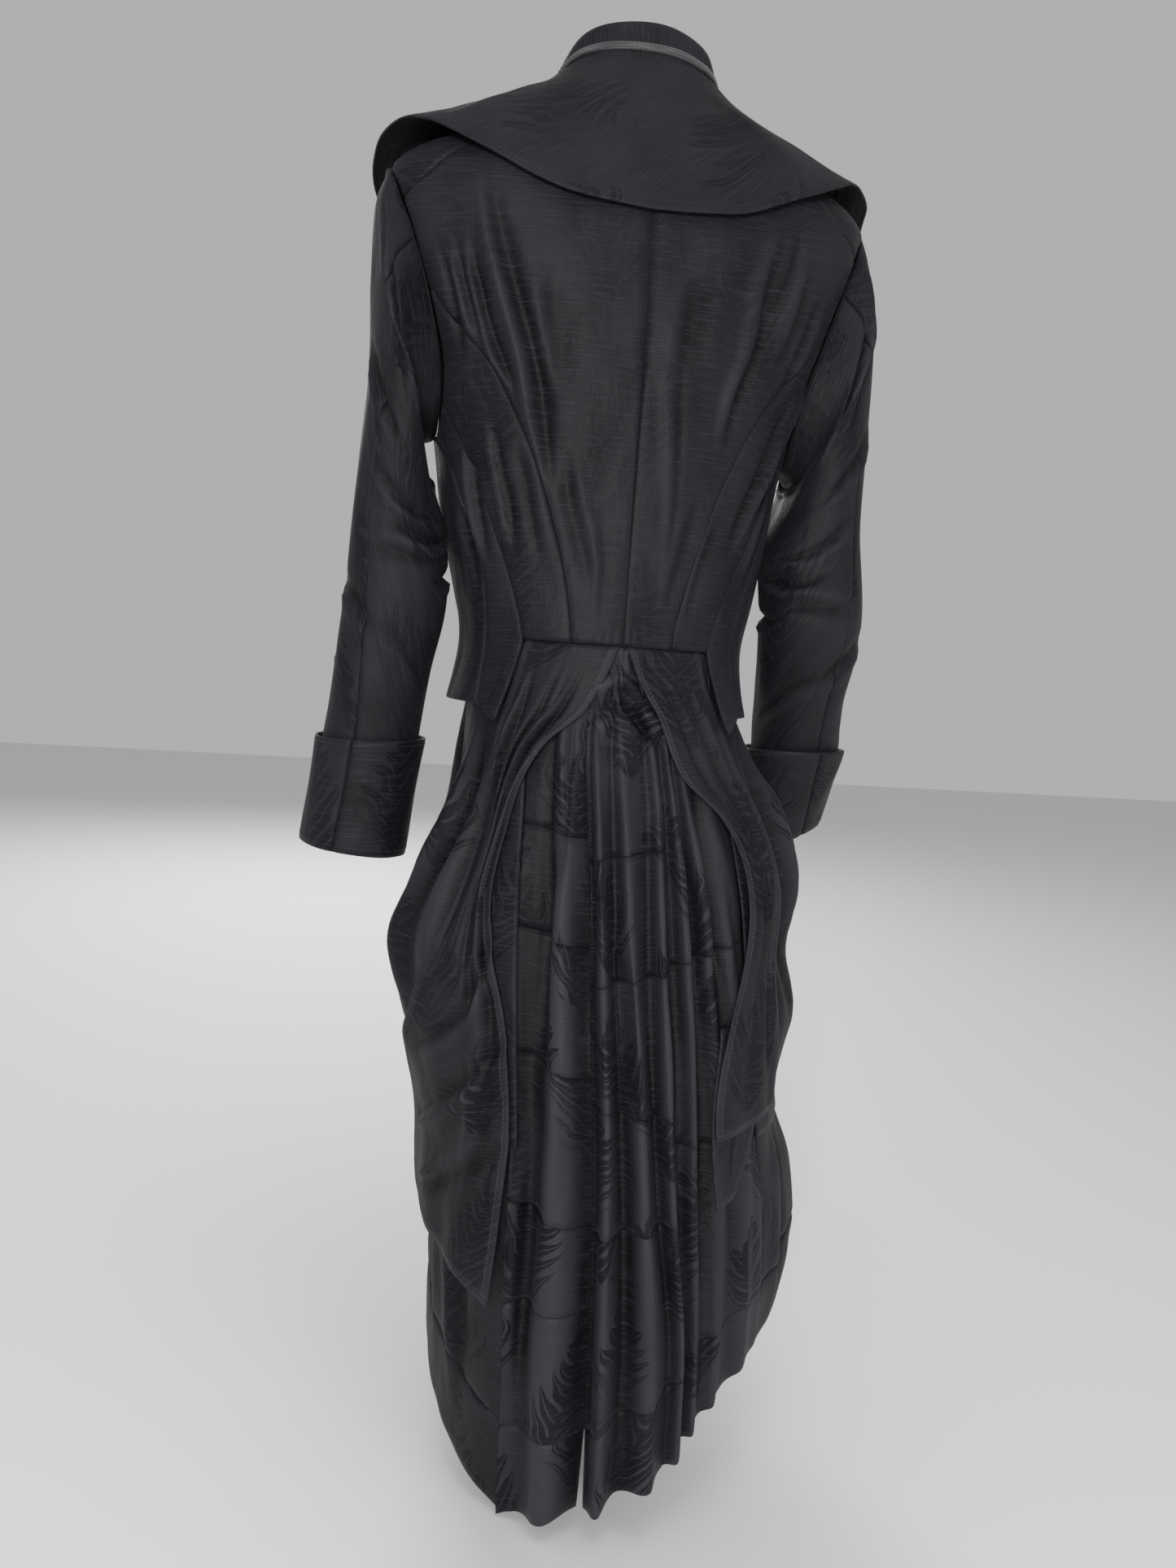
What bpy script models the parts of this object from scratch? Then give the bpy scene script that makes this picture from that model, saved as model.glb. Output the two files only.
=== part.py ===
"""Long fitted coat in black figured cloth, as worn: cape collar, turned-back cuffs and a draped tail skirt.

Frame: metres, +Z up, the wearer faces -Y and their left is +X. The origin is at the nape, between the
shoulders. Angles run round the body from the centre back, positive towards the wearer's left, in degrees. A
place on the coat is an (angle, height) pair, and a surface turns it into a point. A piece is the patch between
two edges.
"""
import bmesh
import bpy
import numpy as np
from mathutils.bvhtree import BVHTree

WALL = 0.0014            # cloth with its turnings
SEAM_GAP = 0.0007        # space between two sewn pieces outside, less inside where the walls turn in
SLEEVE_GAP = 0.0014      # the same round a sleeve, whose walls turn in more
SLEEVE_HEAD_GAPS = (0.0014, 0.0042, 0.0056, 0.0038)     # and down the rows of its head
SLEEVE_ROWS = 14
BAND_GAP = 0.0052        # the same above a hem band, where the pleats cross it steeply
WAIST_Z = -0.405         # back waist seam
SKIRT_TOP_Z = -0.4050    # top of what hangs from the waist
PLEAT_ROW = 0.032        # height of one row of faces in the back skirt

CLOTH_BLACK = (0.018, 0.019, 0.021, 1.0)
TAPE_GREY = (0.055, 0.055, 0.058, 1.0)
BUTTON_BLACK = (0.012, 0.012, 0.013, 1.0)

# Sections of the bodice from the peplum up to the neck: half width, depth of back, front and widest point, how
# square the section is, how far its front lies below its back, and the ease of the wearer's right side.
BODICE = {
    "z":      (-0.480, -0.440, -0.405, -0.360, -0.320, -0.250, -0.200, -0.150, -0.100, -0.065, -0.045, -0.030,
               -0.014, 0.000, 0.012),
    "width":  (0.132, 0.122, 0.118, 0.126, 0.136, 0.147, 0.156, 0.172, 0.187, 0.196, 0.197, 0.184,
               0.145, 0.095, 0.074),
    "back":   (0.152, 0.130, 0.117, 0.114, 0.113, 0.112, 0.112, 0.109, 0.102, 0.094, 0.088, 0.081,
               0.071, 0.062, 0.058),
    "front":  (-0.128, -0.114, -0.106, -0.112, -0.122, -0.134, -0.134, -0.122, -0.106, -0.094, -0.087, -0.082,
               -0.074, -0.066, -0.063),
    "middle": (0.008, 0.004, 0.000, 0.000, 0.000, 0.000, 0.004, 0.008, 0.012, 0.014, 0.014, 0.012,
               0.008, 0.002, 0.000),
    "square": (2.00, 2.00, 2.00, 2.05, 2.10, 2.25, 2.40, 2.60, 2.70, 2.60, 2.50, 2.35,
               2.20, 2.05, 2.00),
    "drop":   (0.000, 0.000, 0.000, 0.000, 0.002, 0.006, 0.010, 0.016, 0.022, 0.028, 0.034, 0.040,
               0.048, 0.056, 0.060),
    "right":  (0.008, 0.009, 0.010, 0.009, 0.004, 0.000, 0.000, 0.000, 0.000, 0.000, 0.000, 0.000,
               0.000, 0.000, 0.000),
}

# Sections of the skirt over its pleats, the sideways sway of the worn skirt, and the swell of each side drape.
SKIRT = {
    "z":      (-0.405, -0.440, -0.480, -0.540, -0.600, -0.660, -0.720, -0.780, -0.860, -0.940, -1.020, -1.120),
    "width":  (0.1120, 0.112, 0.117, 0.126, 0.135, 0.141, 0.146, 0.149, 0.154, 0.156, 0.154, 0.149),
    "back":   (0.1145, 0.114, 0.122, 0.138, 0.152, 0.163, 0.172, 0.180, 0.188, 0.193, 0.196, 0.196),
    "front":  (-0.0980, -0.098, -0.104, -0.113, -0.120, -0.126, -0.130, -0.134, -0.138, -0.141, -0.142, -0.140),
    "middle": (0.000, 0.002, 0.005, 0.010, 0.014, 0.018, 0.020, 0.022, 0.024, 0.025, 0.025, 0.025),
    "sway":   (0.000, -0.001, -0.003, -0.008, -0.013, -0.018, -0.024, -0.029, -0.034, -0.037, -0.038, -0.038),
    "left":   (0.000, -0.003, -0.004, 0.000, 0.024, 0.040, 0.030, 0.012, 0.002, 0.000, 0.000, 0.000),
    "right":  (0.000, 0.006, 0.018, 0.038, 0.042, 0.026, 0.029, 0.008, 0.022, 0.026, 0.010, 0.000),
}

# Seams of the bodice's left half as (angle, height) places; the right half mirrors them.
CENTRE_BACK = ((0, 0.004), (0, -0.13), (0, -0.27), (0, WAIST_Z))
YOKE_SEAM = ((33, 0.004), (39, -0.030), (50, -0.056))
PRINCESS_SEAM = ((56, -0.166), (45.5, -0.192), (33, -0.248), (25, -0.312), (21.5, -0.360),
                 (20, WAIST_Z))
SIDE_BACK_SEAM = ((62, -0.255), (52, -0.300), (44.5, -0.355), (40, WAIST_Z))
SIDE_SEAM = ((72, -0.268), (63, -0.310), (58, -0.355), (60, WAIST_Z), (60, -0.458))
PEPLUM_POINT = (48, -0.470)
NECK_EDGE = ((33, 0.004), (60, 0.004), (92, 0.004), (120, 0.000), (145, -0.014), (160, -0.045), (167, -0.080),
             (172, -0.120), (177, -0.190), (180, -0.235))
FRONT_EDGE = ((180, -0.235), (180, -0.320), (180, WAIST_Z), (178, -0.462))

# The armhole is an oval in angles and heights.
ARMHOLE = {"angle": 92, "z": -0.140, "half_angle": 27, "half_height": 0.103}
CLOCK_STEP = 18          # degrees round the armhole and the sleeve to one column of faces
YOKE_CLOCK, PRINCESS_CLOCK, SIDE_BACK_CLOCK, SIDE_CLOCK = 52, 88, 142, 178

# Sections of each sleeve below its head: its outer and its inner point, and half its depth across them.
SLEEVE_LEFT = {
    "out_x": (0.204, 0.206, 0.203, 0.206, 0.213, 0.221, 0.228, 0.242),
    "out_y": (0.014, 0.017, 0.010, 0.008, 0.010, 0.010, 0.006, -0.006),
    "out_z": (-0.070, -0.130, -0.210, -0.290, -0.370, -0.440, -0.500, -0.590),
    "in_x":  (0.160, 0.154, 0.145, 0.138, 0.134, 0.142, 0.149, 0.156),
    "in_y":  (0.004, 0.014, 0.027, 0.036, 0.034, 0.020, 0.006, -0.002),
    "in_z":  (-0.254, -0.274, -0.300, -0.332, -0.382, -0.440, -0.499, -0.600),
    "depth": (0.067, 0.061, 0.051, 0.044, 0.042, 0.041, 0.041, 0.045),
}
SLEEVE_RIGHT = {
    "out_x": (0.203, 0.214, 0.217, 0.216, 0.223, 0.226, 0.240, 0.246),
    "out_y": (0.014, 0.018, 0.014, 0.015, 0.035, 0.015, -0.018, -0.062),
    "out_z": (-0.070, -0.125, -0.205, -0.285, -0.370, -0.440, -0.490, -0.562),
    "in_x":  (0.160, 0.154, 0.145, 0.138, 0.136, 0.147, 0.161, 0.172),
    "in_y":  (0.004, 0.014, 0.028, 0.040, 0.048, 0.012, -0.030, -0.072),
    "in_z":  (-0.254, -0.274, -0.300, -0.332, -0.378, -0.436, -0.494, -0.598),
    "depth": (0.067, 0.061, 0.051, 0.044, 0.043, 0.042, 0.041, 0.045),
}
SLEEVE_TURN = (0.0, 0.3, 0.7, 1, 1, 1, 1, 1)     # how much each section turns with its two points
SLEEVE_SEAMS = (70, 286)     # round the sleeve from its outer point by its back, in degrees
SLEEVE_END = 0.985           # share of the length at which its cloth ends inside the cuff
SLEEVE_CLEAR = {"gap": 0.0028, "share": 0.03}    # how far a sleeve stands off the body, and from where
CUFF = {"top": 0.865, "bottom": 0.996, "lift_top": 0.0050, "lift_bottom": 0.0006}

# Cape collar against the angle from the centre back: its roll on the stand and its outer edge.
COLLAR = {
    "angle":  (0, 15, 30, 46, 60, 76, 92, 110, 130, 145, 160, 170, 177),
    "roll_z": (0.050, 0.050, 0.050, 0.049, 0.047, 0.043, 0.036, 0.022, 0.002, -0.014, -0.045, -0.100, -0.190),
    "edge_z": (-0.078, -0.070, -0.052, -0.038, -0.031, -0.030, -0.040, -0.075, -0.130, -0.170, -0.208, -0.226,
               -0.236),
    "lift":   (0.008, 0.008, 0.009, 0.010, 0.011, 0.012, 0.013, 0.012, 0.010, 0.009, 0.009, 0.008, 0.007),
    "rise":   (0.000, 0.000, 0.003, 0.008, 0.014, 0.020, 0.022, 0.012, 0.004, 0.000, 0.000, 0.000, 0.000),
}
STAND = {"top_z": 0.078, "side_fall": 0.022, "width": 0.066, "depth": 0.050, "end_angle": 118, "foot_z": 0.002,
         "foot_angle": (20, 36, 56, 84), "foot_inset": (0.0019, 0.0034, 0.0050, 0.0085), "seat_gap": 0.0007}

# Fold lines of the back skirt from the wearer's right to their left: angles and lifts at the named heights.
FOLD_HEIGHTS = (-0.405, -0.500, -0.600, -0.720, -0.850, -0.940, -1.120)
FOLDS = {
    "right_seam":   ((-50, -52, -52, -52, -52, -52, -52), (-2, -9, -10, -9, -6, -6, -6)),
    "right_ridge":  ((-41, -42, -44, -44, -43, -42, -42), (-2, -5, -4, -4, -5, -3, -2)),
    "right_valley": ((-33, -34, -35, -36, -35, -34, -34), (-2, -12, -17, -17, -14, -10, -8)),
    "side_ridge":   ((-27, -28, -30, -31, -30, -29, -29), (-2, -5, -4, -4, -5, -4, -3)),
    "side_valley":  ((-22, -24, -26, -25, -23, -24, -25), (-2, -12, -18, -20, -18, -14, -10)),
    "fifth_ridge":  ((-18, -21, -21, -20, -18.5, -20, -22), (-2, -4, -4, -3, -4, -4, -3)),
    "fifth_valley": ((-15, -18, -17, -15.5, -14.5, -17, -19), (-2, -11, -16, -17, -16, -16, -14)),
    "fourth_ridge": ((-11, -14.5, -12, -10.5, -11, -14.5, -16), (-2, -4, -3, -2, -2, -2, -2)),
    "fourth_valley": ((-7, -10, -7.5, -6, -7.5, -11.5, -13), (-2, -10, -15, -18, -18, -16, -14)),
    "third_ridge":  ((-2, -1, 0, -0.5, -2, -4.5, -7.5), (-2, -4, -2, -1, 0, 0, 0)),
    "third_valley": ((3, 4.5, 5, 5, 5, 4, 2.5), (-2, -10, -16, -19, -20, -19, -17)),
    "second_ridge": ((7, 9, 9.5, 10, 10, 10, 8.5), (-2, -4, -3, -2, 0, 0, 0)),
    "centre_valley": ((11, 13.5, 13.5, 14.5, 14.5, 14.5, 14.5), (-2, -11, -16, -18, -20, -22, -22)),
    "first_ridge":  ((18, 21, 22, 24, 25, 25.5, 26), (-2, -4, -2, 0, 1, 1, 2)),
    "first_valley": ((27, 29, 31, 35, 36.5, 37, 36.5), (-2, -12, -18, -20, -18, -15, -11)),
    "left_seam":    ((37, 40, 41, 42, 42, 42, 42), (-2, -9, -10, -9, -6, -6, -6)),
}
FOLD_NAMES = tuple(FOLDS)

# Gores of the back skirt: first and last fold, columns of faces between two folds, and the cross seams' heights
# at the gore's two edges.
GORES = {
    "back_right": ("right_seam", "fifth_valley", 2, ((-0.640, -0.650), (-0.800, -0.790))),
    "back_centre": ("fifth_valley", "centre_valley", 3,
                    ((-0.560, -0.572), (-0.655, -0.668), (-0.770, -0.760), (-0.850, -0.862))),
    "back_left": ("centre_valley", "left_seam", 3,
                  ((-0.556, -0.548), (-0.640, -0.628), (-0.742, -0.724), (-0.858, -0.846), (-0.925, -0.930))),
}

# The hem and the top of its band, round the skirt.
HEM = {
    "angle":  (-180, -120, -65, -33, -22, -7, 6, 14.5, 22, 35, 50, 72, 110, 180),
    "hem_z":  (-0.930, -0.950, -0.985, -1.000, -1.030, -1.060, -1.088, -1.095, -1.105, -1.115, -1.110, -1.085,
               -1.030, -0.950),
    "band_z": (-0.860, -0.880, -0.930, -0.945, -0.965, -0.976, -1.020, -1.028, -1.028, -1.034, -1.036, -1.025,
               -0.960, -0.880),
}
SLIT = {"back_centre": (0.0, -0.18), "back_left": (0.10, 0.0)}   # how far the bands' edges part, in folds

# Tails hung from the waist: the places of the inner and the outer edge, row by row, and the lift over the skirt.
TAIL_LEFT = {
    "inner_angle": (1.5, 7, 13.5, 20, 29, 38, 43, 46, 44, 40, 39, 39, 40.5, 42, 44),
    "inner_z": (SKIRT_TOP_Z, -0.432, -0.455, -0.468, -0.485, -0.516, -0.556, -0.600, -0.650, -0.700, -0.745,
                -0.790, -0.840, -0.885, -0.930),
    "outer_angle": (39.6, 45, 48, 50, 51.5, 52.5, 54, 57.5, 64, 72, 81, 90, 94, 95, 95),
    "outer_z": (SKIRT_TOP_Z, -0.432, -0.458, -0.478, -0.500, -0.530, -0.570, -0.610, -0.655, -0.705, -0.745,
                -0.785, -0.825, -0.855, -0.877),
    "lift": (2.2, 3, 4, 5, 5, 5, 6, 7, 8, 8, 8, 8, 8, 9, 9),
    "wave": (0, 1, 2, 3, 4, 5, 6, 6, 6, 5, 4, 4, 4, 4, 4),
}
TAIL_RIGHT = {
    "inner_angle": (1.5, 6, 10.5, 15, 19, 24, 38, 45, 46, 43, 35, 27.5, 24, 23),
    "inner_z": (SKIRT_TOP_Z, -0.428, -0.444, -0.460, -0.486, -0.508, -0.536, -0.566, -0.604, -0.642, -0.682,
                -0.722, -0.755, -0.785),
    "outer_angle": (36.4, 41, 46, 50, 54, 58, 61, 62, 62, 60, 58, 56, 54.5, 53),
    "outer_z": (SKIRT_TOP_Z, -0.430, -0.450, -0.475, -0.500, -0.525, -0.552, -0.580, -0.612, -0.647, -0.685,
                -0.722, -0.750, -0.776),
    "lift": (2.2, 3, 4, 5, 5, 6, 7, 8, 8, 8, 8, 8, 8, 8),
    "wave": (0, 1, 2, 3, 4, 5, 5, 5, 4, 4, 3, 3, 3, 3),
}
TAIL_UNDER = {
    "inner_angle": (30, 26, 23.5, 23, 24),
    "inner_z": (-0.700, -0.740, -0.775, -0.810, -0.842),
    "outer_angle": (50, 48, 45, 38, 31),
    "outer_z": (-0.700, -0.740, -0.775, -0.808, -0.836),
    "lift": (2.4, 2.6, 3, 3.5, 4),
    "wave": (0, 0, 1, 1, 1),
}
TAIL_WAVES = 7.5         # radians of wave across a tail
FRONT_SKIRT_EDGE = 177.5
DRAPE_HEM_Z = -0.800
SIDE_PANEL_TOP_Z = -0.760
FRONT_SKIRT_ANGLE = 112
DRAPE_START = {1: 38.0, -1: 46.5}
SIDE_PANEL_START = {1: 42.4, -1: 52.2}
SIDE_PANEL_INSET = {"angle": (52, 112), "lift": (-0.0060, -0.0024)}     # how far it lies under the drape
LAP = {"angle": 9, "lift": 0.0050, "sink": -0.0016, "top_z": -0.16, "full_z": -0.23}   # right front over left
BUTTONS = {"radius": 0.011, "height": 0.0055, "stand_off": 0.0004, "z": (-0.262, -0.308, -0.354, -0.400)}


def curve(heights, values, z):
    """Values at the heights z, on a smooth curve through a table's rows."""
    order = np.argsort(heights)
    rows = np.asarray(heights, float)[order]
    values = np.asarray(values, float)[order]
    slopes = np.gradient(values, rows)
    z = np.clip(z, rows[0], rows[-1])
    i = np.clip(np.searchsorted(rows, z) - 1, 0, len(rows) - 2)
    step = rows[i + 1] - rows[i]
    t = (z - rows[i]) / step
    rise = values[i + 1] - values[i]
    start, end = slopes[i] * step, slopes[i + 1] * step
    return values[i] + t * start + t**2 * (3 * rise - 2 * start - end) + t**3 * (start + end - 2 * rise)


def section(table, angle, z, lift, square=2.0):
    """A point on a table's section at height z, lift metres outside it."""
    turn = np.radians(angle)
    sine, cosine = np.sin(turn), np.cos(turn)
    middle = curve(table["z"], table["middle"], z)
    back = curve(table["z"], table["back"], z) - middle
    front = middle - curve(table["z"], table["front"], z)
    depth = np.where(cosine > 0, back, front)
    x = (curve(table["z"], table["width"], z) + lift) * np.sign(sine) * np.abs(sine) ** (2 / square)
    y = middle + (depth + lift) * np.sign(cosine) * np.abs(cosine) ** (2 / square)
    return x, y


def side_bell(angle):
    """How much of a side's swell an angle takes: broad towards the back, short towards the front."""
    past = np.abs(angle) - 90
    return np.exp(-(past / np.where(past > 0, 15, 30)) ** 2)


def bodice(angle, z, lift=0.0):
    """The bodice's outer surface."""
    square = curve(BODICE["z"], BODICE["square"], z)
    ease = np.where(angle < 0, np.clip(curve(BODICE["z"], BODICE["right"], z), 0, None), 0.0)
    x, y = section(BODICE, angle, z, lift + ease * side_bell(angle), square)
    forward = (1 - np.cos(np.radians(angle))) / 2
    return np.stack(np.broadcast_arrays(x, y, z - curve(BODICE["z"], BODICE["drop"], z) * forward**2), axis=-1)


def skirt(angle, z, lift=0.0):
    """The skirt's outer surface, over its pleats, with a swell at each side."""
    swell = np.where(angle > 0, curve(SKIRT["z"], SKIRT["left"], z), curve(SKIRT["z"], SKIRT["right"], z))
    x, y = section(SKIRT, angle, z, lift + swell * side_bell(angle))
    return np.stack(np.broadcast_arrays(x + curve(SKIRT["z"], SKIRT["sway"], z), y, z), axis=-1)


def pleats(place, z):
    """The pleated back skirt; place counts the fold lines from the wearer's right."""
    lines = [curve(FOLD_HEIGHTS, angles, z) for angles, lifts in FOLDS.values()]
    heights = [curve(FOLD_HEIGHTS, lifts, z) * 0.001 for angles, lifts in FOLDS.values()]
    i = np.clip(np.floor(place), 0, len(FOLDS) - 2).astype(int)
    t = place - i
    angle = np.choose(i, lines[:-1]) * (1 - t) + np.choose(i, lines[1:]) * t
    blend = (1 - np.cos(np.pi * t)) / 2
    lift = np.choose(i, heights[:-1]) * (1 - blend) + np.choose(i, heights[1:]) * blend
    return skirt(angle, z, lift)


def line(points, rows):
    """A smooth edge through the given places, as rows + 1 even steps."""
    points = np.asarray(points, float)
    scale = np.array([0.0022, 1.0])
    steps = np.linalg.norm(np.diff(points * scale, axis=0), axis=1)
    along = np.concatenate([[0.0], np.cumsum(steps)])
    even = np.linspace(0, along[-1], rows + 1)
    return np.stack([curve(along, points[:, 0], even), curve(along, points[:, 1], even)], axis=-1)


def armhole_place(clock):
    """The armhole's edge at a clock angle: 0 at the shoulder, 90 at the back, 180 under the arm."""
    turn = np.radians(clock)
    angle = ARMHOLE["angle"] - ARMHOLE["half_angle"] * np.sign(np.sin(turn)) * np.abs(np.sin(turn)) ** 0.8
    return np.stack([angle, ARMHOLE["z"] + ARMHOLE["half_height"] * np.cos(turn)], axis=-1)


def armhole(start, end):
    """The armhole's edge from one clock angle to another, in even steps."""
    rows = round(abs(end - start) / CLOCK_STEP)
    return armhole_place(np.linspace(start, end, rows + 1))


def chain(*edges):
    """Edges joined end to end."""
    return np.concatenate([edges[0]] + [edge[1:] for edge in edges[1:]])


def material(name, color, roughness):
    finish = bpy.data.materials.new(name)
    finish.use_nodes = True
    shader = finish.node_tree.nodes["Principled BSDF"]
    shader.inputs["Base Color"].default_value = color
    shader.inputs["Roughness"].default_value = roughness
    return finish


def cut_share(surface, start, end, gap):
    """The share of each row, from its start, that a gap takes off."""
    shares = np.concatenate([[0.0], np.geomspace(1e-6, 0.3, 40)])
    places = [start[:, k, None] + (end[:, k, None] - start[:, k, None]) * shares for k in (0, 1)]
    points = surface(places[0].ravel(), places[1].ravel()).reshape(len(start), len(shares), 3)
    away = np.linalg.norm(points - points[:, :1], axis=-1)
    return np.array([np.interp(wide, row, shares) for wide, row in zip(np.broadcast_to(gap, len(start)), away)])


def panel(name, surface, inner, outer, columns, finish, side=1, top=None, gap=SEAM_GAP, top_gap=SEAM_GAP):
    """A piece of cloth between two edges of equal rows, mirrored when side is -1; top curves its first row."""
    rows = len(inner) - 1
    inner, outer = inner * (side, 1), outer * (side, 1)
    mesh = bpy.data.meshes.new(name)
    grid = bmesh.new()
    bmesh.ops.create_grid(grid, x_segments=columns, y_segments=rows, size=0.5)
    share = np.array([vertex.co.x + 0.5 for vertex in grid.verts])
    row = np.array([(vertex.co.y + 0.5) * rows for vertex in grid.verts])
    order = np.arange(rows + 1)
    near = cut_share(surface, inner, outer, gap / 2)
    far = cut_share(surface, outer, inner, gap / 2)
    start = np.interp(row, order, near)
    share = start + share * (1 - start - np.interp(row, order, far))
    ends = surface(inner[:, 0], inner[:, 1])
    falls = np.linalg.norm(np.diff(ends, axis=0), axis=1)
    row = np.clip(row, top_gap / 2 / falls[0], rows - SEAM_GAP / 2 / falls[-1])
    place = [np.interp(row, order, inner[:, k]) * (1 - share) + np.interp(row, order, outer[:, k]) * share
             for k in (0, 1)]
    if top is not None:
        along = np.linspace(0, 1, len(top))
        for k, turn in enumerate((side, 1)):
            straight = inner[0, k] * (1 - share) + outer[0, k] * share
            place[k] += (np.interp(share, along, top[:, k] * turn) - straight) * np.clip(1 - row / 2, 0, 1)
    for vertex, point in zip(grid.verts, surface(*place)):
        vertex.co = point
    if side < 0:
        bmesh.ops.reverse_faces(grid, faces=grid.faces)
    grid.to_mesh(mesh)
    grid.free()
    mesh.shade_smooth()
    mesh.materials.append(finish)
    piece = bpy.data.objects.new(name, mesh)
    COAT.objects.link(piece)
    thickness = piece.modifiers.new("wall", "SOLIDIFY")
    thickness.thickness = WALL
    thickness.offset = -1.0
    return piece


def make_bodice(cloth):
    """Backs, side backs, sides and fronts; the front runs over the shoulder to the yoke seam."""
    clocks = (YOKE_CLOCK, PRINCESS_CLOCK, SIDE_BACK_CLOCK, SIDE_CLOCK)
    corner = [tuple(armhole_place(clock)) for clock in clocks]
    yoke = line(YOKE_SEAM + (corner[0],), 3)
    back_arm = armhole(YOKE_CLOCK, PRINCESS_CLOCK)
    princess = line((corner[1],) + PRINCESS_SEAM, 10)
    under_arm = armhole(PRINCESS_CLOCK, SIDE_BACK_CLOCK)
    side_back = line((corner[2],) + SIDE_BACK_SEAM, 7)
    peplum = line((SIDE_BACK_SEAM[-1], PEPLUM_POINT), 2)
    side = line((corner[3],) + SIDE_SEAM, 9)
    over_arm = armhole(YOKE_CLOCK, SIDE_CLOCK - 360)
    front_top = line(NECK_EDGE, len(over_arm) - 1)
    front_low = line(FRONT_EDGE, 9)
    for name, hand in (("left", 1), ("right", -1)):
        panel(f"back_{name}", bodice, line(CENTRE_BACK, 15), chain(yoke, back_arm, princess), 5, cloth, hand)
        panel(f"side_back_{name}", bodice, princess, chain(under_arm, side_back), 4, cloth, hand)
        panel(f"side_{name}", bodice, chain(side_back, peplum), side, 4, cloth, hand,
              armhole(SIDE_BACK_CLOCK, SIDE_CLOCK))
        panel(f"front_{name}", fronts(hand), chain(front_top, front_low), chain(over_arm, side), 6, cloth,
              -hand, yoke, top_gap=2 * SEAM_GAP)


def lap_share(angle, z):
    """How much of the lap's lift a place near the centre front takes."""
    across = np.clip((np.abs(angle) - 155) / 12, 0, 1)
    return across * np.clip((LAP["top_z"] - z) / (LAP["top_z"] - LAP["full_z"]), 0, 1)


def fronts(hand):
    """The surface of one front: the right one runs past the centre and stands off the left one."""
    def surface(angle, z):
        turned = -angle
        if hand > 0:
            return bodice(turned, z, LAP["sink"] * lap_share(turned, z))
        share = lap_share(turned, z)
        past = turned - LAP["angle"] * share * np.clip((np.abs(turned) - 155) / 25, 0, 1)
        return bodice(past, z, LAP["lift"] * share)
    return surface


def sleeve_surface(table, side):
    """A sleeve's outer surface: angle round it from its outer point by its back, and share of its length."""
    out = np.stack([np.array(table["out_" + axis]) for axis in "xyz"], axis=-1)
    inside = np.stack([np.array(table["in_" + axis]) for axis in "xyz"], axis=-1)
    middle, half = (out + inside) / 2, (out - inside) / 2
    across = np.stack([-half[:, 1] * SLEEVE_TURN, half[:, 0], np.zeros(len(half))], axis=-1)
    across *= (np.array(table["depth"]) / np.linalg.norm(across, axis=1))[:, None]
    stations = np.concatenate([[0.0], np.linspace(0.10, 1.0, len(half))])

    def surface(angle, share, lift=0.0):
        clock = np.radians(angle * side)
        edge = armhole_point(angle * side)
        first = middle[0] + np.cos(clock)[:, None] * half[0] + np.sin(clock)[:, None] * across[0]
        down = WALL * np.clip(1.5 * np.cos(clock), 0, 1) / np.linalg.norm(first - edge, axis=1)
        rings = [edge + (first - edge) * down[:, None]]
        for k in range(len(half)):
            spoke = np.cos(clock)[:, None] * half[k] + np.sin(clock)[:, None] * across[k]
            wider = 1 + np.broadcast_to(lift, clock.shape) / np.linalg.norm(half[k])
            rings.append(middle[k] + spoke * wider[:, None])
        rings = np.stack(rings)
        point = np.stack([ring_curve(stations, rings[..., k], share) for k in range(3)], axis=-1)
        free = body_side(point[:, 1], point[:, 2], side) + SLEEVE_CLEAR["gap"] * np.clip(
            share / SLEEVE_CLEAR["share"], 0, 1)
        point[:, 0] = np.where(share > 0, np.maximum(point[:, 0], free), point[:, 0])
        return point * np.array([side, 1.0, 1.0])
    return surface


def body_side(y, z, side):
    """How far out the bodice's side lies at a depth and a height."""
    width, back, front, middle, square, right = (curve(BODICE["z"], BODICE[column], z) for column in
                                                 ("width", "back", "front", "middle", "square", "right"))
    reach = np.clip(np.abs(y - middle) / np.where(y > middle, back - middle, middle - front), 0, 1)
    ease = np.clip(right, 0, None) if side < 0 else 0.0
    return (width + ease) * (1 - reach**square) ** (1 / square)


def ring_curve(stations, rings, share):
    """Values at the shares of a length, through rings of values at its stations."""
    slopes = np.gradient(rings, stations, axis=0)
    i = np.clip(np.searchsorted(stations, share) - 1, 0, len(stations) - 2)
    column = np.arange(rings.shape[1])
    step = stations[i + 1] - stations[i]
    t = (share - stations[i]) / step
    start, end = slopes[i, column] * step, slopes[i + 1, column] * step
    rise = rings[i + 1, column] - rings[i, column]
    return rings[i, column] + t * start + t**2 * (3 * rise - 2 * start - end) + t**3 * (start + end - 2 * rise)


def armhole_point(clock):
    """The left armhole's edge at a clock angle, as a point."""
    place = armhole_place(clock)
    return bodice(place[..., 0], place[..., 1])


def strip(first, last, start, end, rows):
    """The two edges of a lengthwise strip of a sleeve."""
    shares = np.linspace(start, end, rows + 1)
    return [np.stack([np.full(rows + 1, float(angle)), shares], axis=-1) for angle in (first, last)]


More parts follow.
